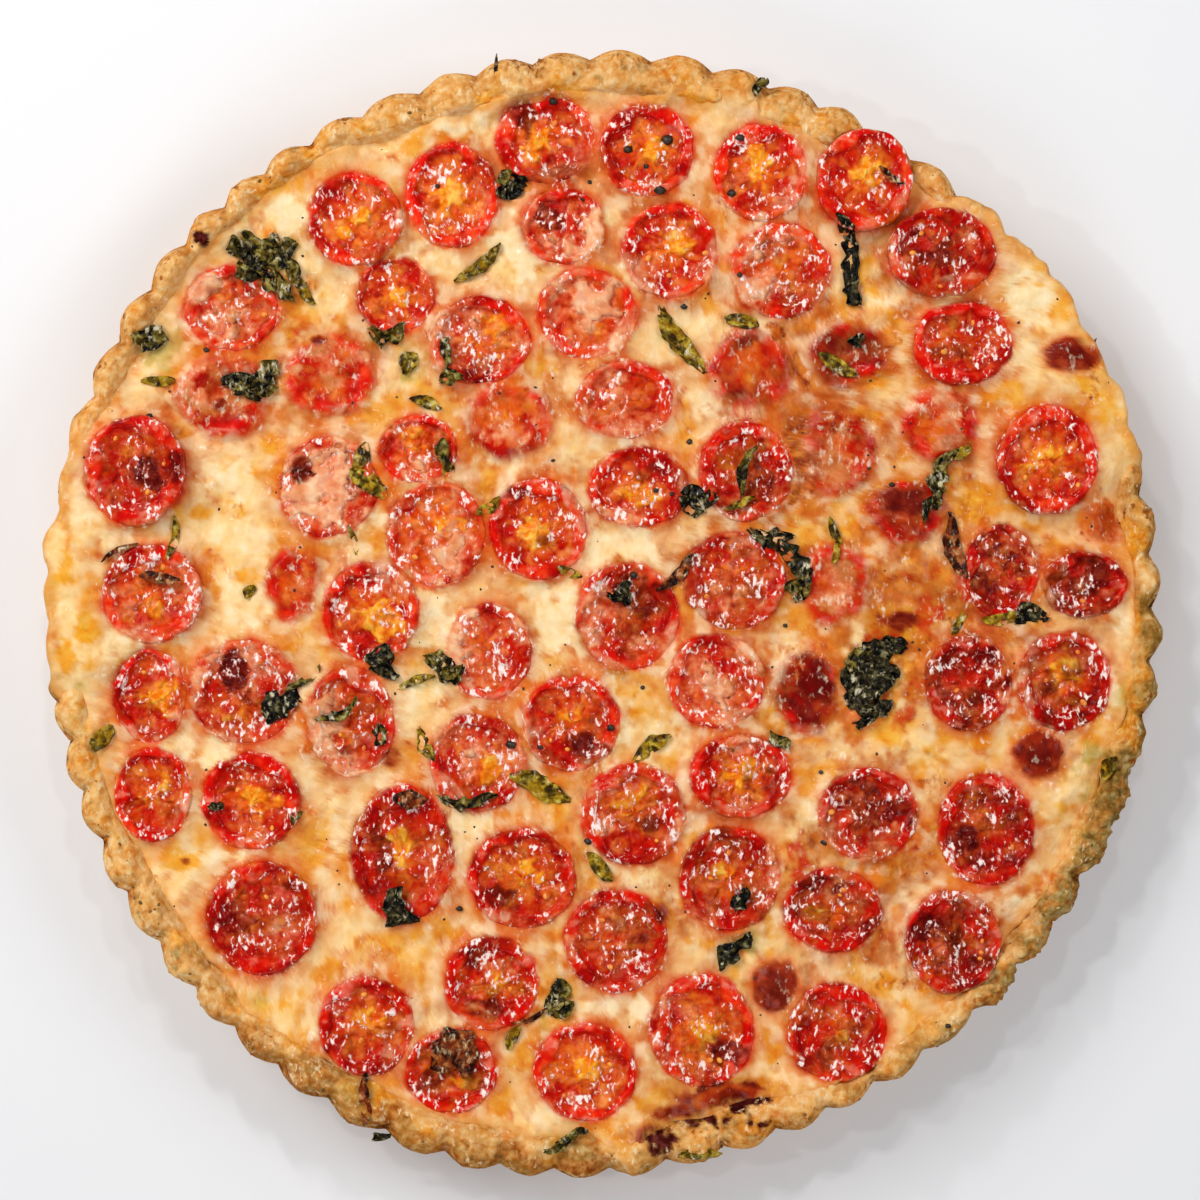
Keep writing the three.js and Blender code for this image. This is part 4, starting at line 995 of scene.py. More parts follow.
    def cheese(self, places: np.ndarray, broad: np.ndarray, middling: np.ndarray,
               fine: np.ndarray) -> tuple[np.ndarray, np.ndarray, np.ndarray]:
        """Returns the cheese's own colours: cream to gold, browned where it blistered."""
        x, y = places[:, 0], places[:, 1]
        streaks = noise(places, (1.5, 6.0), 24, 3)
        warm = cover(WARMS, x, y, 0.3, 35)
        under = self.BASE + np.zeros((len(x), 3))
        swirl = noise(places, 8, 29, 3)
        under = over(under, self.GOLD, ramp(0.5 * broad - 0.7 * swirl + 0.15 * middling, 0.05, 0.9) * 0.7)
        under = over(under, self.WARM, ramp(0.8 * warm + 0.5 * swirl + 0.25 * middling, 0.25, 1.1) * 0.85)
        under = over(under, self.GOLD, ramp(0.8 * warm - 0.8 * swirl + 0.3 * middling, 0.4, 1.1) * 0.8)
        under = over(under, self.ORANGE, ramp(middling + 0.5 * broad + 0.6 * warm, 0.6, 1.2) * 0.5)
        freckles = ramp(noise(places, 2.4, 39, 2), 0.55, 0.9) * ramp(broad + 0.4 * swirl, 0.0, 0.7)
        under = over(under, self.WARM, freckles * 0.5)
        # Cream patches: the cheese's own unbrowned cream, lightened to PALE along vertical streaks as painted
        # highlight
        pale = cover(CREAMS, x, y, 0.35, 31)
        under = over(under, self.BASE, ramp(pale + 0.2 * middling, 0.15, 0.7))
        under = over(under, self.PALE, ramp(pale + 0.3 * streaks, 0.35, 1.0) * 0.8)
        gold = cover(GOLDS, x, y, 0.4, 32)
        under = over(under, self.GOLD, ramp(gold + 0.3 * middling + 0.15 * streaks, 0.15, 0.8) * 0.9)
        under = over(under, self.OLIVE, ramp(cover(OLIVES, x, y, 0.4, 33) + 0.2 * fine, 0.1, 0.8) * 0.6)
        brown = cover(BROWNS, x, y, 0.4, 7)
        top = blend(self.TOAST_PALE, self.TOAST, ramp(brown + 0.3 * fine, 0.4, 0.95)[:, None])
        closed = brown + 0.55 * warm * ramp(swirl + 0.6 * middling, -0.2, 0.7) - 0.12
        return under, top, closed

    def scorched(self, look: Look, x: np.ndarray, y: np.ndarray, near: np.ndarray, middling: np.ndarray,
                 fine: np.ndarray) -> Look:
        """Adds what the heat did to cheese and halves alike: dark stains and charred spots, and a brown glaze that
        is partly painted shade.
        """
        char = cover(CHARS, x, y, 0.14, 6)
        stain = cover(STAINS, x, y, 0.35, 34) * (near > -1)
        red = ramp(stain + 0.3 * middling + 0.2 * fine, 0.35, 0.9)
        brown = cover(BROWNS, x, y, 0.4, 7) * (near < 0)
        singed = cover(CHARS, x, y, 0.2, 6, 1.6) * ramp(near, -0.5, 0.5)
        glaze_and_shade = cover(GLAZE_AND_SHADE_PATCHES, x, y, 0.3, 36)
        for part in (look.under, look.top):
            # Brown glaze, partly painted shade, over cheese and halves alike
            part[:] = over(part, self.GLAZE_AND_SHADE, glaze_and_shade * ramp(middling + 0.5 * fine, -0.7, 0.5))
            part[:] = over(part, self.SINGED, ramp(singed + 0.15 * middling, 0.05, 0.6) * 0.8)
            part[:] = over(part, CutFace.PULP, red * 0.75)
            part[:] = over(part, self.TOAST, ramp(brown + 0.3 * middling, 0.35, 1.0) * 0.75)
            part[:] = over(part, self.CHAR_RING, ramp(char + 0.1 * fine, 0.1, 0.5) * 0.9)
            part[:] = over(part, self.CHAR, ramp(char + 0.2 * fine + 0.2 * middling, 0.42, 0.9) * 0.9)
            for blister in self.blisters:
                away = blister.away(x, y) + 0.1 * middling
                part[:] = over(part, self.ORANGE, (1 - ramp(away, 0.9, 1.45)) * ramp(near, -0.3, 0.6) * 0.7)
                part[:] = over(part, self.CHAR_RING, (1 - ramp(away, 0.85, 1.1)) * blister.char)
                part[:] = over(part, self.CHAR, (1 - ramp(away + 0.25 * fine, 0.35, 0.95)) * blister.char * 0.8)
        # Painted glints: more on the juice stains, fewer on char
        look.grain = np.clip(look.grain + 0.2 * red - 0.15 * ramp(char, 0.3, 0.7), 0, 0.9)
        return look


@dataclass
class Dome:
    """A blister of the cheese: its middle, width and height in plan, and its rise."""

    x: float
    y: float
    wide: float
    tall: float
    rise: float = 1.3
    char: float = 0.0

    def away(self, x: np.ndarray, y: np.ndarray) -> np.ndarray:
        """How far out places lie: 0 in its middle and 1 at its edge."""
        return np.hypot((x - self.x) / self.wide * 2, (y - self.y) / self.tall * 2)

    def lift(self, x: np.ndarray, y: np.ndarray) -> np.ndarray:
        """How far the blister raises the cheese at places."""
        return self.rise * np.sqrt(np.clip(1 - self.away(x, y)**2, 0, 1)) ** 0.8


@dataclass
class Cheese:
    """The melted mozzarella, with a pocket for each half and films that run over their edges."""

    halves: list[TomatoHalf]
    domes: list[Buried | Dome]
    steps: int = 300
    spill_reach: float = 0.7
    climb: float = 2.2
    EDGE = rgb(224, 158, 80)

    def edge_height(self, angle: np.ndarray) -> np.ndarray:
        """Height at which the cheese ends on the pastry's inner slope."""
        spots = np.stack([np.cos(angle), np.sin(angle)], -1) * 115
        creep = np.clip(noise(spots, 9, 16, 3), -1, 1)
        return TART.height(angle) - 1.6 + 0.9 * creep - TART.along(TART.bared, angle)

    @staticmethod
    def lap(angle: np.ndarray) -> np.ndarray:
        """How far the cheese has run out over the rim, in millimetres."""
        spots = np.stack([np.cos(angle), np.sin(angle)], -1) * 115
        held = np.exp(-1.5 * TART.along(TART.bared, angle))
        return 2.6 * ramp(noise(spots, 16, 18, 2), 0.0, 0.7) * held

    def lip(self, angle: np.ndarray) -> np.ndarray:
        """Radius of the outermost cheese where it has spilled over the rim."""
        spots = np.stack([np.cos(angle), np.sin(angle)], -1) * 115
        return TART.outline(angle) + self.spill_reach + 0.9 * noise(spots, 8, 19, 3) + TART.flute(angle) - 0.6

    def brim(self, angle: np.ndarray) -> np.ndarray:
        """Radius at which the top of the cheese ends."""
        inside = TART.inner(angle, self.edge_height(angle)) + 0.7
        lap = self.lap(angle)
        inside = blend(inside, TART.crest(angle) + lap, ramp(lap, 0.0, 2.0))
        return blend(inside, self.lip(angle) - 0.6, TART.along(TART.spills, angle))

    def surface(self, x: np.ndarray, y: np.ndarray) -> np.ndarray:
        """Height of the cheese with its lumps, before the halves are let in."""
        angle, radius = TART.polar(x, y)
        brim = self.brim(angle)
        rise = ramp(radius, brim - 6.5, brim - 0.8) * (1 - TART.along(TART.spills, angle))
        level = TART.cheese(x, y) + np.max([dome.lift(x, y) for dome in self.domes], 0)
        edge = blend(self.edge_height(angle) + 0.25, TART.height(angle) + 0.5, ramp(self.lap(angle), 0.0, 2.4))
        return blend(level, edge, rise)

    def build(self, finish: bpy.types.Material, baked: Baked) -> bpy.types.Object:
        """Makes the cheese as a closed body and paints it."""
        side = np.linspace(-1, 1, self.steps + 1)
        across, up = (part.ravel() for part in np.meshgrid(side, side))
        wide = np.abs(across) > np.abs(up)
        reach = np.where(wide, across, up)
        with np.errstate(divide="ignore", invalid="ignore"):
            turned = np.where(wide, math.pi / 4 * up / across, math.pi / 2 - math.pi / 4 * across / up)
        turned = np.nan_to_num(turned) + np.where(reach < 0, math.pi, 0)
        x, y = TART.around(turned, np.abs(reach) * self.brim(turned))
        z, bare = self.heights(x, y)
        corners = [np.stack([x, y, z], 1)]
        loop = self.border()
        angle = turned[loop]
        faces = [grid_faces(self.steps + 1, self.steps + 1, False)[:, ::-1]]
        spill = TART.along(TART.spills, angle)
        floor = TART.floor + 0.5
        rim = TART.height(angle)
        slope_foot = rim - TART.slope_depth
        lip = self.lip(angle)
        end = self.edge_height(angle)
        top = blend(end - 0.3, rim + 0.1, ramp(self.lap(angle), 0.0, 2.4))
        rows = [
            (blend(self.brim(angle), lip, spill), blend(top, rim + 0.9, spill)),
            (blend(TART.inner(angle, end - 1) - 0.1, lip - 0.3, spill), blend(end - 1, rim - 0.9, spill)),
            (blend(TART.inner(angle, end - 2) - 0.4, TART.inner(angle, rim) - 0.5, spill),
             blend(end - 2, rim - 0.6, spill)),
            (TART.inner(angle, slope_foot) - 0.5, slope_foot),
            (TART.inner(angle, np.full_like(angle, floor)) - 0.5, np.full_like(angle, floor)),
        ]
        start = len(x)
        above = loop
        following = np.roll(np.arange(len(loop)), -1)
        for radius, height in rows:
            edge_x, edge_y = TART.around(angle, radius)
            corners.append(np.stack([edge_x, edge_y, height], 1))
            here = start + np.arange(len(loop))
            faces.append(np.stack([here, here[following], above[following], above], 1))
            above, start = here, start + len(loop)
        corners.append(np.array([[*TART.centre, floor]]))
        corners = np.concatenate(corners)
        closing = np.stack([above[following], above, np.full(len(loop), start)], 1)
        listed = np.concatenate(faces).tolist() + closing.tolist()
        look = baked.look(corners[:, 0], corners[:, 1])
        angle, radius = TART.polar(corners[:, 0], corners[:, 1])
        brim = self.brim(angle)
        browned = ramp(radius + 1.3 * noise(corners[:, :2], 3.2, 17, 2), brim - 2.8, brim - 0.1)
        look.under = over(look.under, self.EDGE, browned * 0.75)
        piece = make_mesh("cheese_melt", corners, listed, finish, look,
                          bare=np.pad(bare, (0, len(corners) - len(bare))))
        hand_over(piece, Slot.CHEESE, "cheese")
        return piece

    def border(self) -> np.ndarray:
        """Numbers of the corners round the edge of the grid, anticlockwise."""
        last = self.steps
        width = last + 1
        step = np.arange(last)
        return np.concatenate([step, last + step * width, last * width + last - step,
                               (last - step) * width])

    def heights(self, x: np.ndarray, y: np.ndarray) -> tuple[np.ndarray, np.ndarray]:
        """Returns the cheese's height, and where no half lies in it."""
        places = np.stack([x, y], -1)
        z = self.surface(x, y)
        z += 0.35 * noise(places, 6.5, 11, 2) + 0.18 * noise(places, 2.3, 12, 2)
        z += 0.1 * noise(places, (1.3, 5.0), 13, 2)
        bare = np.ones_like(z)
        middling = noise(places, 3.6, 22, 3)
        for half in self.halves:
            box = (np.abs(x - half.x) < 20) & (np.abs(y - half.y) < 23)
            share, gap = half.shares(x[box], y[box])
            level = half.level(x[box], y[box])
            clinging = np.exp(-np.clip(gap, 0, None) / 1.6)
            film = Baked.film(half, places[box], share)
            wet = level - 0.2 + 0.3 * ramp(film, 0.2, 0.8)
            outside = blend(z[box], np.clip(wet, z[box] - 0.4, z[box] + self.climb), clinging)
            depth = half.depth * np.interp(share, half.belly_shares[::-1][1:-1], half.belly_depths[::-1][1:-1])
            pocket = np.minimum(level - depth - 0.35, outside)
            inside = blend(np.minimum(wet - 0.35, outside), pocket, ramp(-gap, 0.7, 1.6))
            covered = ramp(film, 0.7, 0.95)
            laid = level + np.interp(share, (0, 0.6, 0.85, 1), (-0.5, -0.55, 0.15, 0.1)) + 0.25 * middling[box]
            inside = blend(inside, laid, covered)
            z[box] = np.where(gap < 0, inside, outside)
            bare[box] = np.where(gap < 0.3, 0, bare[box])
        return z, bare


@dataclass
class Crust:
    """The pastry case: crumbly fluted rim, inner slope, walls and base."""

    halves: list[TomatoHalf]
    cheese: Cheese
    sides: int = 1320
    roughness: float = 0.54

    BASE = rgb(212, 150, 80)
    PALE = rgb(238, 192, 124)
    TOAST = rgb(158, 90, 28)
    BROWN = rgb(112, 54, 14)
    GOLD = rgb(222, 138, 34)
    HERB = rgb(84, 70, 18)
    SHADE = rgb(134, 98, 36)
    STALE = rgb(156, 128, 72)
    # Stretches of the rim that get painted shade in an olive colour
    shade_stretches: tuple[Stretch, ...] = (
        Stretch(338, 40, 0.4), Stretch(252, 26, 0.4), Stretch(282, 26, 0.3), Stretch(5, 24, 0.4),
    )
    stale: tuple[Stretch, ...] = (Stretch(334, 34, 0.95),)
    light: tuple[Stretch, ...] = (Stretch(202, 30, 0.8), Stretch(110, 26, 0.35))
    toasted: tuple[Stretch, ...] = (Stretch(250, 30, 0.75), Stretch(22, 26, 0.4))
    CHAR = rgb(72, 16, 12)

    def rows(self, angle: np.ndarray) -> list[tuple[np.ndarray, np.ndarray, float]]:
        """Radius, height and share of crumbliness of each row, from the floor over the rim to the base."""
        rim = TART.height(angle)
        slope_foot = rim - TART.slope_depth
        crest = TART.crest(angle)
        flute = TART.flute(angle + 0.010 * np.sin(5 * angle + 1) + 0.006 * np.sin(11 * angle))
        wall = TART.outline(angle) + TART.flute_depth * (flute - 2 / math.pi)
        floor = np.full_like(angle, TART.floor)
        made = [(TART.inner(angle, floor), floor, 0.0), (TART.inner(angle, slope_foot), slope_foot, 0.0)]
        for share in (0.35, 0.5, 0.6, 0.7, 0.78, 0.86, 0.94):
            height = slope_foot + TART.slope_depth * share
            made.append((TART.inner(angle, height), height - 0.15 * share, 0.6))
        for share in np.linspace(0, 1, 16):
            crown = (0.7 + 0.6 * flute) * (math.sin(math.pi * share) ** 0.7 if share < 1 else 0.0)
            height = rim - 0.4 + crown - 1.5 * share**5 + 1.7 * (flute - 0.64) * share**0.8
            made.append((blend(crest, wall - 0.4, share), height, 1.0))
        for drop in np.linspace(0, 1, 15):
            made.append((wall - 7.0 * drop, blend(rim - 2.4, np.zeros_like(rim), drop),
                         1.0 if 0 < drop < 0.99 else 0.3))
        return made

    def build(self, finish: bpy.types.Material, baked: Baked) -> bpy.types.Object:
        """Makes the case as a closed body and paints it."""
        angle = np.linspace(0, TURN, self.sides, endpoint=False)
        rows = self.rows(angle)
        radius = np.stack([row[0] for row in rows])
        height = np.stack([row[1] for row in rows])
        crumbly = np.array([row[2] for row in rows])[:, None] * np.ones(self.sides)
        down, out = -np.gradient(height, axis=0), np.gradient(radius, axis=0)
        size = np.hypot(down, out) + 1e-6
        x, y = TART.around(angle, radius)
        places = np.stack([x, y, height], -1)
        broken = 1 + 1.8 * TART.along((Stretch(332, 24, 1.0), Stretch(226, 26, 0.35)), angle)
        bumps = (0.7 * noise(places, 7, 41, 2) + 0.5 * noise(places, 2.6, 42, 2)
                 + 0.3 * noise(places, 1.2, 43)) * self.roughness * broken * crumbly
        radius = radius + down / size * bumps
        height = np.maximum(height + out / size * bumps, 0)
        x, y = TART.around(angle, radius)
        for half in self.halves:
            if np.hypot(half.x - TART.centre[0], half.y - TART.centre[1]) < 88:
                continue
            share, gap = half.shares(x, y)
            under = half.level(x, y) - 0.3 - half.depth * np.interp(
                share, half.belly_shares[::-1], half.belly_depths[::-1])
            height = np.where((gap < 0.3) & (height > under) & (height > 8), under, height)
        flat = [part.ravel() for part in (x, y, height)]
        look, crumb = self.looks(*flat, np.tile(angle, len(rows)), crumbly.ravel(), baked)
        count = len(flat[0])
        corners = np.concatenate([np.stack(flat, 1), [[*TART.centre, TART.floor], [*TART.centre, 0]]])
        ring = np.arange(self.sides)
        following = (ring + 1) % self.sides
        last = count - self.sides
        faces = grid_faces(len(rows), self.sides, True).tolist()
        faces += np.stack([np.full(self.sides, count), ring, following], 1).tolist()
        faces += np.stack([last + ring, np.full(self.sides, count + 1), last + following], 1).tolist()
        piece = make_mesh("pastry_case", corners, faces, finish, look.joined(2), crumb=np.pad(crumb, (0, 2)))
        hand_over(piece, Slot.CRUST, "crust")
        return piece

    def looks(self, x: np.ndarray, y: np.ndarray, z: np.ndarray, angle: np.ndarray, crumbly: np.ndarray,
              baked: Baked) -> tuple[Look, np.ndarray]:
        """Paints the pastry: tan, toasted on its tips, glazed where cheese has run over it, with painted shade in
        its flute creases, down its inner slope and along some stretches of the rim.
        """
        places = np.stack([x, y, z], -1)
        flat = places[:, :2]
        broad = noise(places, 13, 51, 2)
        middling = noise(places, 3.6, 52, 3)
        fine = noise(places, 1.2, 53, 2)
        radius = TART.polar(x, y)[1]
        low = 1 - ramp(z, 4, 19)
        creep = 2.4 * noise(flat, 6, 54, 3)
        brim = self.cheese.brim(angle)
        glazed = 1 - ramp(radius - creep, brim - 0.5, brim + 3.0)
        glazed = np.maximum(glazed, 0.7 * (1 - ramp(radius - creep, brim + 2, brim + 6)) * ramp(broad, 0, 0.4))
        under = self.BASE + np.zeros((len(x), 3))
        under = over(under, self.PALE, ramp(middling + 0.4 * fine, 0.1, 0.9) * 0.7)
        under = over(under, self.GOLD, ramp(-broad + 0.5 * middling, 0.2, 0.9) * 0.45)
        # Painted shade: the flute creases near the outer edge darkened with the toast colour
        crease = (1 - ramp(TART.flute(angle), 0.1, 0.5)) * ramp(radius, 119, 123)
        under = over(under, self.TOAST, crease * 0.5)
        upper = ramp(z, 19, 22.5)
        golden = cover(GOLDS, x, y, 0.4, 32) * upper
        under = over(under, self.GOLD, ramp(golden + 0.3 * middling, 0.3, 0.9) * 0.8)
        # Painted shade down the inner slope below the crest
        deep = ramp(TART.height(angle) - z, 0.8, 4) * (radius < TART.crest(angle) + 1)
        worn = 0.35 + 0.65 * upper
        under = over(under, self.STALE, TART.along(self.stale, angle) * ramp(fine + middling, -0.8, 0.4) * worn)
        light = TART.along(self.light, angle)
        under = over(under, self.PALE, light * ramp(middling + fine, -1.0, 0.4))
        toasted = TART.along(self.toasted, angle) * worn
        under = over(under, self.TOAST, toasted * ramp(middling + 0.5 * fine, -0.5, 0.7))
        # Painted shade in the SHADE olive: down the inner slope and along the listed stretches of the rim
        shade_stretches = TART.along(self.shade_stretches, angle) * worn
        under = over(under, self.SHADE, deep * 0.6 + shade_stretches * ramp(-middling, -0.4, 0.4))
        under = over(under, self.HERB, ramp(noise(places, 1.5, 57, 2) + 0.2 * broad, 0.8, 1.0) * 0.4)
        under = over(under, self.HERB, low * ramp(noise(places, 3, 58, 2), 0.0, 0.7) * 0.35)
        under = over(under, self.HERB, ramp(cover(OLIVES, x, y, 0.5, 59) + 0.3 * fine, 0.3, 0.9) * upper * 0.6)
        brown = cover(BROWNS, x, y, 0.5, 60) * upper
        top = blend(self.TOAST, self.BROWN, ramp(brown + 0.5 * fine, 0.3, 1.0)[:, None])
        tips = ramp(TART.flute(angle), 0.5, 1) * ramp(radius, 121, 125)
        closed = 0.35 * broad + 0.25 * middling + 0.9 * brown + 0.2 * tips - 0.4 * glazed - 0.3 * light
        cheese = baked.cheese(flat, noise(flat, 17, 21, 3), noise(flat, 3.6, 22, 3), noise(flat, 1.2, 23, 2))[0]
        under = blend(under, over(cheese, self.GOLD, 0.35 + 0 * x), (glazed * 0.85)[:, None])
        char = (cover(CHARS, x, y, 0.4, 61) + 0.2 * fine) * upper
        for part in (under, top):
            part[:] = over(part, self.CHAR, ramp(char, 0.3, 0.8))
        # grain here is the share of painted glints on the crumbly rim and where cheese glazes it
        grain = crumbly * ramp(noise(places, 6, 62), -0.2, 0.5) * 0.5 + 0.2 * glazed
        crumb = crumbly * (z > 14) * ramp(noise(places, 8, 63, 2), -0.3, 0.4) * (1 - glazed)
        return Look(under, top, closed, grain), crumb


class HerbKind(Enum):
    """The ways a piece of basil has dried."""

    BLACK = "black"
    DRIED = "dried"
    OLIVE = "olive"
    BROWN = "brown"
    TWIG = "twig"


@dataclass(frozen=True)
class Shred:
    """A leaf or shred of basil in the photograph: its middle, length, width and turn in degrees."""

    column: float
    row: float
    length: float
    width: float
    turn: float
    kind: HerbKind = HerbKind.BLACK


def shreds(kind: HerbKind, *rows: tuple) -> tuple[Shred, ...]:
    """Makes shreds of one kind of rows of column, row, length, width and turn."""
    return tuple(Shred(*row, kind) for row in rows)


@dataclass
class Basil:
    """The dried basil on the tart, as thin crumpled sheets."""

    ground: "Ground"
    along: int = 22
    across: int = 8
    thickness: float = 0.22
    pieces: tuple = shreds(
        HerbKind.BLACK,
        (246, 258, 30, 20, -50), (254, 272, 26, 18, 70), (236, 382, 30, 22, 20), (256, 378, 34, 24, -10),
        (518, 178, 20, 16, -40), (512, 190, 24, 16, 10), (503, 190, 16, 12, 70), (848, 258, 92, 19, -66),
        (855, 290, 30, 18, -60), (858, 338, 18, 14, 20), (272, 708, 30, 26, 60), (288, 700, 24, 20, -20),
        (382, 658, 32, 26, 80), (384, 672, 28, 20, 0), (700, 496, 34, 26, 10), (692, 505, 28, 16, -30),
        (772, 534, 46, 22, -18), (795, 560, 48, 22, -70), (930, 508, 30, 10, 55), (1032, 618, 34, 22, 20),
        (880, 650, 34, 26, 30), (896, 644, 24, 18, -10), (872, 672, 34, 28, -20), (852, 680, 30, 20, 80),
        (866, 692, 36, 26, 10), (884, 684, 28, 24, 60), (858, 704, 30, 22, -10), (878, 708, 34, 18, 30),
        (890, 668, 26, 20, -60), (868, 720, 26, 14, 10), (395, 908, 40, 22, 70), (400, 922, 34, 16, 10),
        (736, 952, 46, 20, 62), (741, 900, 26, 16, 80), (216, 806, 16, 10, 0), (622, 590, 22, 14, 30),
        (615, 598, 18, 12, -40), (628, 600, 16, 10, 70),
    ) + shreds(
        HerbKind.DRIED,
        (238, 246, 26, 20, 20), (252, 240, 24, 18, -30), (268, 243, 26, 20, 60), (284, 246, 24, 18, 10),
        (262, 258, 28, 22, 20), (278, 262, 28, 18, -20), (290, 270, 26, 16, -60), (268, 278, 28, 18, -40),
        (284, 286, 30, 14, -50), (240, 268, 18, 14, 80), (150, 338, 34, 24, -20), (268, 372, 26, 20, 50),
        (246, 392, 30, 18, -20), (262, 388, 26, 18, 15), (378, 334, 24, 18, -10), (394, 330, 24, 18, 30),
        (504, 176, 20, 14, 30), (447, 352, 30, 10, 75), (450, 378, 26, 15, 10), (760, 86, 24, 14, 70),
        (302, 680, 40, 9, 50), (338, 710, 48, 11, 32), (378, 736, 24, 14, 75), (443, 452, 26, 12, 80),
        (748, 470, 52, 11, 68), (802, 588, 30, 22, 80), (440, 665, 36, 24, -15), (452, 672, 28, 18, 30),
        (466, 798, 60, 13, -4), (780, 742, 24, 14, -60), (944, 478, 64, 22, 62), (862, 660, 30, 24, 60),
        (382, 1136, 20, 10, 35), (555, 998, 38, 24, 85), (560, 1008, 28, 20, 10), (562, 1142, 40, 10, 14),
        (574, 1136, 34, 9, 8), (296, 818, 16, 10, 60),
    ) + shreds(
        HerbKind.OLIVE,
        (300, 288, 40, 12, -42), (157, 380, 34, 12, 8), (478, 262, 60, 13, 40), (681, 338, 84, 19, -62),
        (742, 320, 36, 15, -22), (408, 362, 26, 20, 60), (425, 402, 34, 12, -15), (838, 364, 44, 16, -22),
        (172, 538, 44, 9, 84), (360, 455, 30, 16, 62), (368, 482, 46, 20, -48), (352, 540, 30, 7, -78),
        (248, 592, 16, 12, 60), (102, 738, 30, 16, 65), (488, 506, 30, 12, 40), (570, 572, 26, 10, -28),
        (740, 503, 34, 8, 15), (415, 682, 40, 9, 14), (652, 748, 44, 17, 36), (540, 788, 66, 24, -16),
        (836, 530, 30, 9, -60), (836, 552, 24, 8, 80), (1004, 618, 42, 13, 0), (962, 622, 32, 9, 50),
        (513, 1040, 28, 11, 62), (700, 1154, 44, 14, 8), (600, 868, 38, 15, -42), (425, 745, 36, 14, -62),
        (962, 452, 22, 14, 20), (448, 470, 18, 14, 60), (1110, 768, 26, 12, 60),
    ) + shreds(
        HerbKind.BROWN,
        (120, 552, 38, 6, 32), (160, 578, 42, 12, 4), (958, 545, 68, 18, -72), (676, 573, 52, 12, 42),
        (365, 1100, 52, 12, 82), (452, 1052, 56, 34, 38), (468, 1062, 34, 22, 80), (410, 800, 20, 34, 80),
        (890, 177, 30, 8, -30), (530, 1018, 40, 6, 22),
    ) + shreds(HerbKind.TWIG, (496, 66, 26, 4, 85), (1092, 345, 14, 3, 60))

    COLOURS = {
        HerbKind.BLACK: (rgb(58, 50, 22), rgb(6, 4, 1)),
        HerbKind.DRIED: (rgb(116, 98, 32), rgb(34, 26, 4)),
        HerbKind.OLIVE: (rgb(166, 132, 26), rgb(92, 72, 8)),
        HerbKind.BROWN: (rgb(146, 74, 30), rgb(70, 28, 8)),
        HerbKind.TWIG: (rgb(110, 78, 40), rgb(60, 38, 16)),
    }

    def build(self, finish: bpy.types.Material) -> bpy.types.Object:
        """Makes all the basil as one piece."""
        corners, faces, looks = [], [], []
        count = 0
        for number, shred in enumerate(self.pieces):
            sheet, look = self.sheet(shred, number)
            corners.append(sheet)
            looks.append(look)
            faces += (self.shell() + count).tolist()
            count += len(sheet)
        whole = Look(*(np.concatenate([getattr(look, part) for look in looks])
                       for part in ("under", "top", "closed", "grain")))
        piece = make_mesh("basil", np.concatenate(corners), faces, finish, whole)
        hand_over(piece, Slot.CHEESE)
        return piece

    def shell(self) -> np.ndarray:
        """Faces of one closed sheet: its top, its underside and its edge."""
        rows, columns = self.along + 1, self.across + 1
        top = grid_faces(rows, columns, False)
        under = top[:, ::-1] + rows * columns
        edge = np.concatenate([np.arange(columns), np.arange(1, rows) * columns + columns - 1,
                               (rows - 1) * columns + np.arange(columns - 2, -1, -1),
                               np.arange(rows - 2, 0, -1) * columns])
        following = np.roll(edge, -1)
        rim = np.stack([edge, following, following + rows * columns, edge + rows * columns], 1)
        return np.concatenate([top, under, rim])

    def sheet(self, shred: Shred, number: int) -> tuple[np.ndarray, Look]:
        """Returns the corners and the look of one crumpled sheet lying on the tart."""
        rough = {HerbKind.OLIVE: 0.5, HerbKind.BROWN: 0.6, HerbKind.TWIG: 0.15}.get(shred.kind, 1.0)
        share, side = (part.ravel() for part in np.meshgrid(
            np.linspace(0, 1, self.along + 1), np.linspace(-1, 1, self.across + 1), indexing="ij"))
        middle = ((shred.column - ORIGIN_COLUMN) * POINT, (ORIGIN_ROW - shred.row) * POINT)
        length, width = shred.length * POINT, shred.width * POINT / 2
        spots = np.stack([share * length, side * width], -1)
        swell = np.maximum(0.22, np.sin(math.pi * np.clip(share, 0.03, 0.97)) ** 0.6)
        jag = 1 + 0.35 * rough * noise(spots, 1.5, number + 300)
        across = side * width * swell * jag + 0.12 * length * rough * np.sin(share * 4 + number)
        along = (share - 0.5) * length + 0.5 * rough * noise(spots, 1.8, number + 340)
        turn = math.radians(shred.turn)
        x = middle[0] + along * math.cos(turn) - across * math.sin(turn)
        y = middle[1] + along * math.sin(turn) + across * math.cos(turn)
        fold = 1 - 2 * np.abs(noise(spots, 2.0, number + 380, 2))
        lift = rough * (0.55 * fold + 0.35 * noise(spots, 0.9, number + 420) + 0.3 * side**2 + 0.3)
        z = self.ground.height(x, y, blur=True) + 0.25 + np.maximum(lift, -0.1)
        top = np.stack([x, y, z + 0.25], -1)
        main, other = self.COLOURS[shred.kind]
        patchy = 0.5 + 0.8 * noise(spots, 1.6, number + 460, 2) - 0.45 * fold
        ones = np.ones((2 * len(x), 1))
        glint = np.full(len(x), {HerbKind.BLACK: 0.6, HerbKind.DRIED: 0.75}.get(shred.kind, 0.5))
        look = Look(main * ones, other * ones, np.tile(patchy, 2), np.concatenate([glint, glint * 0]))
        return np.concatenate([top, top - (0, 0, self.thickness)]), look


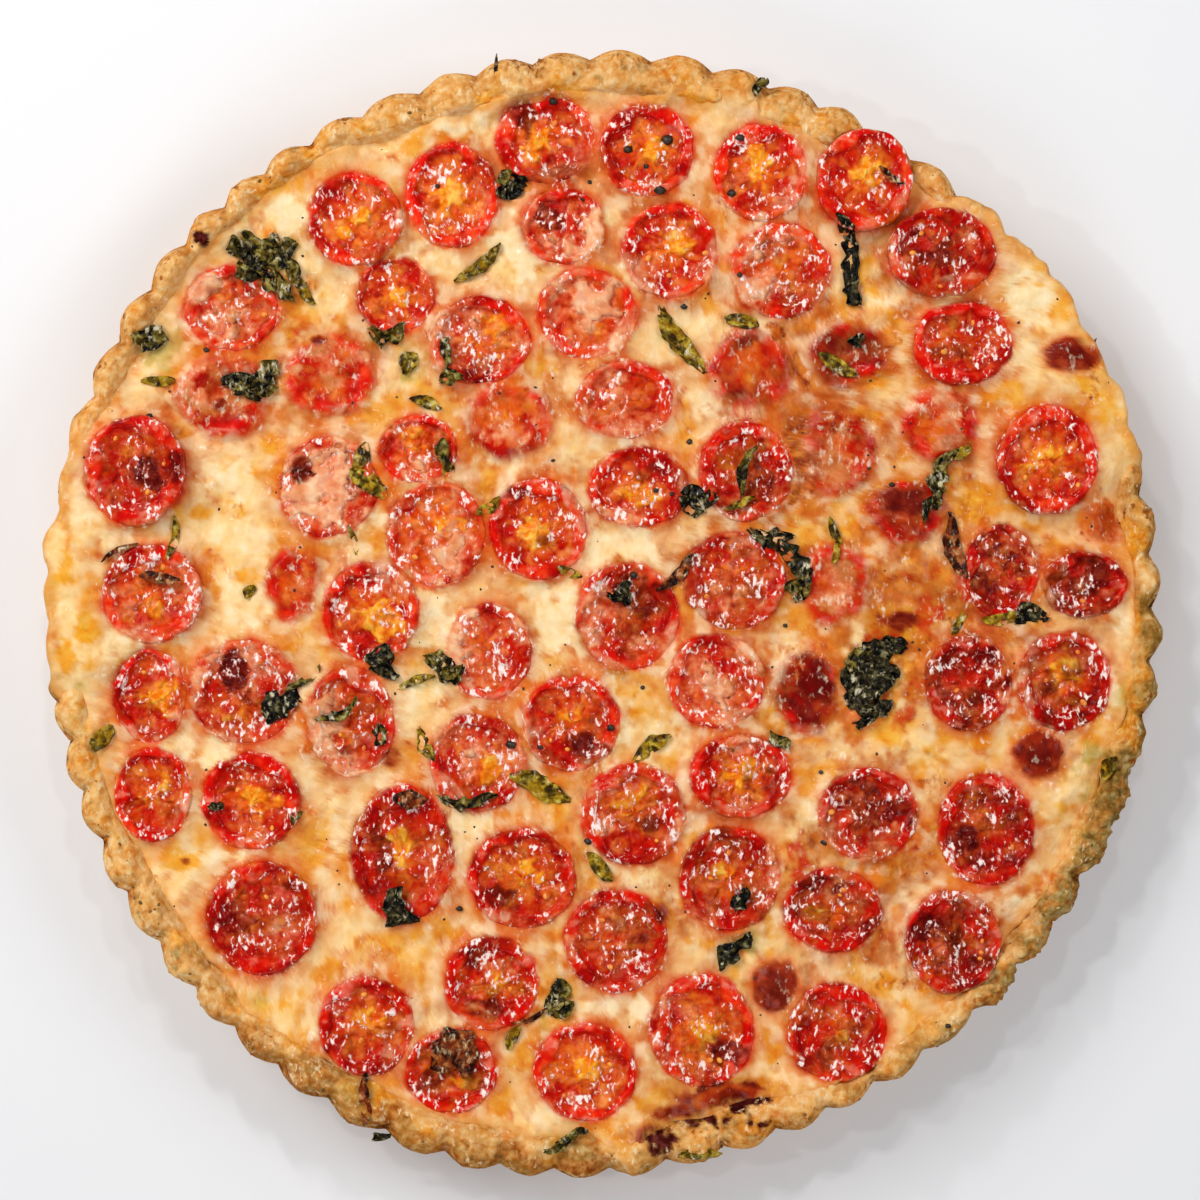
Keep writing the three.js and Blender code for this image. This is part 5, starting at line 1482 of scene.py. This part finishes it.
@dataclass
class Ground:
    """What a loose topping lies on: cheese, halves or rim, whichever is highest there."""

    cheese: Cheese
    halves: list[TomatoHalf]

    def height(self, x: np.ndarray, y: np.ndarray, blur: bool = False) -> np.ndarray:
        """Height of the tart's top at places; blurred, it bridges the hollows of a cut face."""
        angle, radius = TART.polar(x, y)
        on_rim = TART.height(angle) + 0.4 - 2.6 * ramp(radius, TART.outline(angle) - 1.5,
                                                       TART.outline(angle) + 1.5)
        inside = self.cheese.surface(x, y)
        z = blend(inside, np.maximum(on_rim, inside - 1.5), ramp(radius, TART.crest(angle) - 4, TART.crest(angle)))
        for half in self.halves:
            share, gap = half.shares(x, y)
            if not (gap < 3).any():
                continue
            raised = half.level(x, y) + (-0.25 if blur else half.face(x, y, share))
            climbed = np.clip(half.level(x, y) - 0.3, z, z + self.cheese.climb)
            z = np.where(gap < 0, raised, blend(z, climbed, np.exp(-np.clip(gap, 0, None) / 0.8)))
        return z


@dataclass
class Scatter:
    """Small grains that Geometry Nodes strew over a surface, densest where a mark says so."""

    name: str
    mark: str
    per_square_mm: float
    smallest: float
    largest: float
    flatness: float
    seed: int

    def tree(self, material: bpy.types.Material) -> bpy.types.NodeTree:
        """Builds the tree: points on the marked faces, a squashed grain on each, made real."""
        tree = bpy.data.node_groups.new(self.name, "GeometryNodeTree")
        tree.interface.new_socket("Geometry", in_out="INPUT", socket_type="NodeSocketGeometry")
        for name in ("Density", "Smallest", "Largest", "Flatness"):
            tree.interface.new_socket(name, in_out="INPUT", socket_type="NodeSocketFloat")
        tree.interface.new_socket("Geometry", in_out="OUTPUT", socket_type="NodeSocketGeometry")
        nodes, links = tree.nodes, tree.links
        given, result = nodes.new("NodeGroupInput"), nodes.new("NodeGroupOutput")
        mark = nodes.new("GeometryNodeInputNamedAttribute")
        mark.data_type = "FLOAT"
        mark.inputs["Name"].default_value = self.mark
        density = nodes.new("ShaderNodeMath")
        density.operation = "MULTIPLY"
        links.new(given.outputs["Density"], density.inputs[0])
        links.new(mark.outputs["Attribute"], density.inputs[1])
        points = nodes.new("GeometryNodeDistributePointsOnFaces")
        points.inputs["Seed"].default_value = self.seed
        links.new(given.outputs["Geometry"], points.inputs["Mesh"])
        links.new(density.outputs[0], points.inputs["Density"])
        grain = nodes.new("GeometryNodeMeshIcoSphere")
        grain.inputs["Radius"].default_value = 1.0
        grain.inputs["Subdivisions"].default_value = 2
        squash = nodes.new("ShaderNodeCombineXYZ")
        squash.inputs["X"].default_value = 1.0
        squash.inputs["Y"].default_value = 0.75
        links.new(given.outputs["Flatness"], squash.inputs["Z"])
        flat = nodes.new("GeometryNodeTransform")
        links.new(grain.outputs["Mesh"], flat.inputs["Geometry"])
        links.new(squash.outputs[0], flat.inputs["Scale"])
        size = nodes.new("FunctionNodeRandomValue")
        size.data_type = "FLOAT"
        size.inputs["Seed"].default_value = self.seed + 1
        links.new(given.outputs["Smallest"], size.inputs[2])
        links.new(given.outputs["Largest"], size.inputs[3])
        spin = nodes.new("FunctionNodeRandomValue")
        spin.data_type = "FLOAT"
        spin.inputs["Seed"].default_value = self.seed + 2
        spin.inputs[3].default_value = TURN
        turned = nodes.new("ShaderNodeCombineXYZ")
        links.new(spin.outputs[1], turned.inputs["Z"])
        twist = nodes.new("FunctionNodeRotateRotation")
        twist.rotation_space = "LOCAL"
        links.new(points.outputs["Rotation"], twist.inputs["Rotation"])
        to_rotation = nodes.new("FunctionNodeEulerToRotation")
        links.new(turned.outputs[0], to_rotation.inputs[0])
        links.new(to_rotation.outputs[0], twist.inputs["Rotate By"])
        placed = nodes.new("GeometryNodeInstanceOnPoints")
        links.new(points.outputs["Points"], placed.inputs["Points"])
        links.new(flat.outputs["Geometry"], placed.inputs["Instance"])
        links.new(twist.outputs[0], placed.inputs["Rotation"])
        links.new(size.outputs[1], placed.inputs["Scale"])
        real = nodes.new("GeometryNodeRealizeInstances")
        links.new(placed.outputs["Instances"], real.inputs["Geometry"])
        dressed = nodes.new("GeometryNodeSetMaterial")
        dressed.inputs["Material"].default_value = material
        links.new(real.outputs["Geometry"], dressed.inputs["Geometry"])
        links.new(dressed.outputs["Geometry"], result.inputs["Geometry"])
        return tree

    def build(self, carriers: list[bpy.types.Object], material: bpy.types.Material, slot: Slot) -> None:
        """Strews the grains over the carriers and hands them over as one plain mesh."""
        rows, marks, faces = [], [], []
        count = 0
        for carrier in carriers:
            mesh = carrier.data
            corners = np.empty(len(mesh.vertices) * 3, np.float32)
            mesh.vertices.foreach_get("co", corners)
            strength = np.empty(len(mesh.vertices), np.float32)
            mesh.attributes[self.mark].data.foreach_get("value", strength)
            rows.append(corners.reshape(-1, 3))
            marks.append(strength)
            faces += [[count + corner for corner in polygon.vertices] for polygon in mesh.polygons]
            count += len(mesh.vertices)
        bed = bpy.data.meshes.new(self.name + "_bed")
        bed.from_pydata(np.concatenate(rows).tolist(), [], faces)
        bed.attributes.new(self.mark, "FLOAT", "POINT").data.foreach_set("value", np.concatenate(marks))
        carrier = bpy.data.objects.new(self.name + "_bed", bed)
        bpy.context.scene.collection.objects.link(carrier)
        modifier = carrier.modifiers.new("strew", "NODES")
        modifier.node_group = self.tree(material)
        sizes = {"Density": self.per_square_mm / MM**2, "Smallest": self.smallest / 2 * MM,
                 "Largest": self.largest / 2 * MM, "Flatness": self.flatness}
        for item in modifier.node_group.interface.items_tree:
            if item.in_out == "INPUT" and item.name in sizes:
                modifier[item.identifier] = sizes[item.name]
        evaluated = carrier.evaluated_get(bpy.context.evaluated_depsgraph_get())
        mesh = bpy.data.meshes.new_from_object(evaluated)
        mesh.name = self.name
        bpy.data.objects.remove(carrier)
        piece = bpy.data.objects.new(self.name, mesh)
        bpy.context.scene.collection.objects.link(piece)
        mesh.polygons.foreach_set("use_smooth", [True] * len(mesh.polygons))
        hand_over(piece, slot)


@dataclass(frozen=True)
class GrainFinish:
    """A plain finish for small grains: two colours that vary with the place."""

    name: str
    dark: tuple[int, int, int]
    light: tuple[int, int, int]
    roughness: float
    size: float = 2.0

    def material(self) -> bpy.types.Material:
        """Builds the finish."""
        material = bpy.data.materials.new(self.name)
        material.use_nodes = True
        nodes, links = material.node_tree.nodes, material.node_tree.links
        place = nodes.new("ShaderNodeTexCoord").outputs["Object"]
        pattern = nodes.new("ShaderNodeTexNoise")
        pattern.inputs["Scale"].default_value = 1 / (self.size * MM)
        links.new(place, pattern.inputs["Vector"])
        colours = nodes.new("ShaderNodeValToRGB")
        colours.color_ramp.elements[0].position = 0.38
        colours.color_ramp.elements[0].color = (*rgb(*self.dark), 1)
        colours.color_ramp.elements[1].position = 0.62
        colours.color_ramp.elements[1].color = (*rgb(*self.light), 1)
        links.new(pattern.outputs["Fac"], colours.inputs["Fac"])
        shader = nodes["Principled BSDF"]
        links.new(colours.outputs["Color"], shader.inputs["Base Color"])
        shader.inputs["Roughness"].default_value = self.roughness
        return material


@dataclass
class Peppercorns:
    """Coarse bits of pepper, where the photograph shows them one by one."""

    ground: Ground
    spots: tuple = (
        (628, 148, 4.5), (668, 138, 6), (660, 190, 5.5), (646, 165, 2.6), (740, 137, 4.5), (732, 192, 5),
        (553, 100, 4.5), (511, 745, 5.5), (459, 910, 3.4), (464, 833, 2), (474, 828, 2), (611, 728, 4.2),
        (690, 441, 3.4), (684, 305, 3.6), (535, 387, 2), (553, 460, 2.6), (656, 490, 3), (672, 494, 2.6),
        (437, 184, 2.6), (590, 180, 3), (583, 198, 2.6), (826, 843, 4.6), (948, 1026, 3), (740, 274, 3),
        (218, 806, 5), (149, 416, 3.6), (870, 468, 2), (786, 626, 2.4), (643, 688, 2.6), (588, 842, 4),
        (540, 748, 3), (822, 773, 2.4), (634, 575, 4), (442, 458, 4), (205, 349, 4), (893, 484, 3),
    )

    def build(self, material: bpy.types.Material) -> None:
        """Makes all the bits as one piece of small jagged lumps."""
        rings, sides = 5, 8
        corners, faces = [], []
        for number, (column, row, size) in enumerate(self.spots):
            x, y = (column - ORIGIN_COLUMN) * POINT, (ORIGIN_ROW - row) * POINT
            z = float(self.ground.height(np.array([x]), np.array([y]))[0])
            polar = np.linspace(0.12, math.pi - 0.12, rings)[:, None]
            turn = np.linspace(0, TURN, sides, endpoint=False)
            unit = np.stack([np.sin(polar) * np.cos(turn), np.sin(polar) * np.sin(turn),
                             np.cos(polar) * np.ones(sides)], -1).reshape(-1, 3)
            unit *= (1 + 0.28 * noise(unit * 3, 1.1, number + 500))[:, None]
            first = sum(len(part) for part in corners)
            corners.append(unit * size * POINT * (1, 0.85, 0.7) + (x, y, z + 0.25))
            faces += (grid_faces(rings, sides, True) + first).tolist()
            faces.append((first + np.arange(sides)).tolist())
            faces.append((first + (rings - 1) * sides + np.arange(sides)[::-1]).tolist())
        whole = np.concatenate(corners)
        piece = make_mesh("peppercorns", whole, faces, material)
        hand_over(piece, Slot.CHEESE)


@dataclass
class Studio:
    """The pale floor, the soft lights and the camera straight above the tart."""

    distance: float = 620.0
    sensor: float = 36.0
    rim_plane: float = 25.0

    def floor(self) -> None:
        """Lays the pale floor."""
        mesh = bpy.data.meshes.new("floor")
        half = 2.5
        mesh.from_pydata([(-half, -half, 0), (half, -half, 0), (half, half, 0), (-half, half, 0)], [],
                         [(0, 1, 2, 3)])
        material = bpy.data.materials.new("floor")
        material.use_nodes = True
        shader = material.node_tree.nodes["Principled BSDF"]
        shader.inputs["Base Color"].default_value = (0.82, 0.82, 0.83, 1)
        shader.inputs["Roughness"].default_value = 0.6
        mesh.materials.append(material)
        piece = bpy.data.objects.new("floor", mesh)
        bpy.context.scene.collection.objects.link(piece)

    def light(self, name: str, place: tuple, size: float, power: float,
              colour: tuple = (1, 1, 1)) -> None:
        """Hangs a soft square light that faces the tart; place and size are in millimetres."""
        lamp = bpy.data.lights.new(name, "AREA")
        lamp.size = size * MM
        lamp.energy = power
        lamp.color = colour
        piece = bpy.data.objects.new(name, lamp)
        x, y, z = (part * MM for part in place)
        piece.location = (x, y, z)
        away = math.hypot(x, y)
        piece.rotation_euler = (math.atan2(away, z), 0, math.atan2(x, -y) if away else 0)
        bpy.context.scene.collection.objects.link(piece)

    def build(self) -> None:
        """Sets up floor, lights, surroundings and camera."""
        scene = bpy.context.scene
        self.floor()
        self.light("window", (-700, 560, 800), 520, 6.2, (1.0, 0.985, 0.96))
        for number, place in enumerate([(-420, 420, 900), (-640, 60, 860), (60, 620, 880), (-250, 700, 640)]):
            self.light(f"glint_{number}", place, 44, 1.0)
        self.light("right_fill", (750, 150, 750), 420, 2.9, (0.95, 0.97, 1.0))
        self.light("front_fill", (-100, -800, 750), 420, 2.4, (0.97, 0.98, 1.0))
        world = bpy.data.worlds.new("surroundings")
        world.use_nodes = True
        world.node_tree.nodes["Background"].inputs["Color"].default_value = (0.95, 0.97, 1.0, 1)
        world.node_tree.nodes["Background"].inputs["Strength"].default_value = 0.24
        scene.world = world
        view = bpy.data.cameras.new("camera")
        view.sensor_width = self.sensor
        view.lens = self.sensor / (FRAME_POINTS * POINT) * self.distance
        camera = bpy.data.objects.new("camera", view)
        camera.location = ((FRAME_POINTS / 2 - ORIGIN_COLUMN) * POINT * MM,
                           (ORIGIN_ROW - FRAME_POINTS / 2) * POINT * MM,
                           (self.rim_plane + self.distance) * MM)
        scene.collection.objects.link(camera)
        scene.camera = camera
        scene.view_settings.view_transform = "Standard"


def main() -> None:
    """Builds the tart piece by piece."""
    logging.basicConfig(level=logging.INFO, format="%(name)s %(message)s")
    names = sorted(node for node in frame["nodes"] if node.startswith("tomato_"))
    halves = [TomatoHalf(name, number, *bake) for number, (name, bake) in enumerate(
        zip(names, HALF_BAKES, strict=True), 1)]
    buried = [Buried(*row, 100 + number) for number, row in enumerate(BURIED)]
    blisters = [Dome(*row) for row in BLISTERS]
    baked = Baked(halves, buried, blisters)
    flesh = FLESH.material()
    faces = [half.build(flesh, baked) for half in halves]
    cheese = Cheese(halves, buried + blisters)
    melt = cheese.build(MELT.material(), baked)
    case = Crust(halves, cheese).build(PASTRY.material(), baked)
    ground = Ground(cheese, halves)
    Basil(ground).build(HERB.material())
    pepper = GrainFinish("pepper", (14, 11, 8), (52, 38, 22), 0.45).material()
    Peppercorns(ground).build(pepper)
    flecks = GrainFinish("flecks", (84, 70, 20), (150, 92, 34), 0.6).material()
    seeds = GrainFinish("seeds", (226, 112, 24), (244, 160, 56), 0.3).material()
    Scatter("pepper_dust", "bare", 0.004, 0.35, 0.8, 0.6, 5).build([melt], pepper, Slot.CHEESE)
    Scatter("crust_flecks", "crumb", 0.04, 0.4, 1.1, 0.45, 9).build([case], flecks, Slot.CRUST)
    Scatter("tomato_seeds", "chamber", 0.02, 1.1, 1.8, 0.5, 13).build(faces, seeds, Slot.TOMATO)
    Studio().build()
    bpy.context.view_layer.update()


if __name__ == "__main__":
    main()
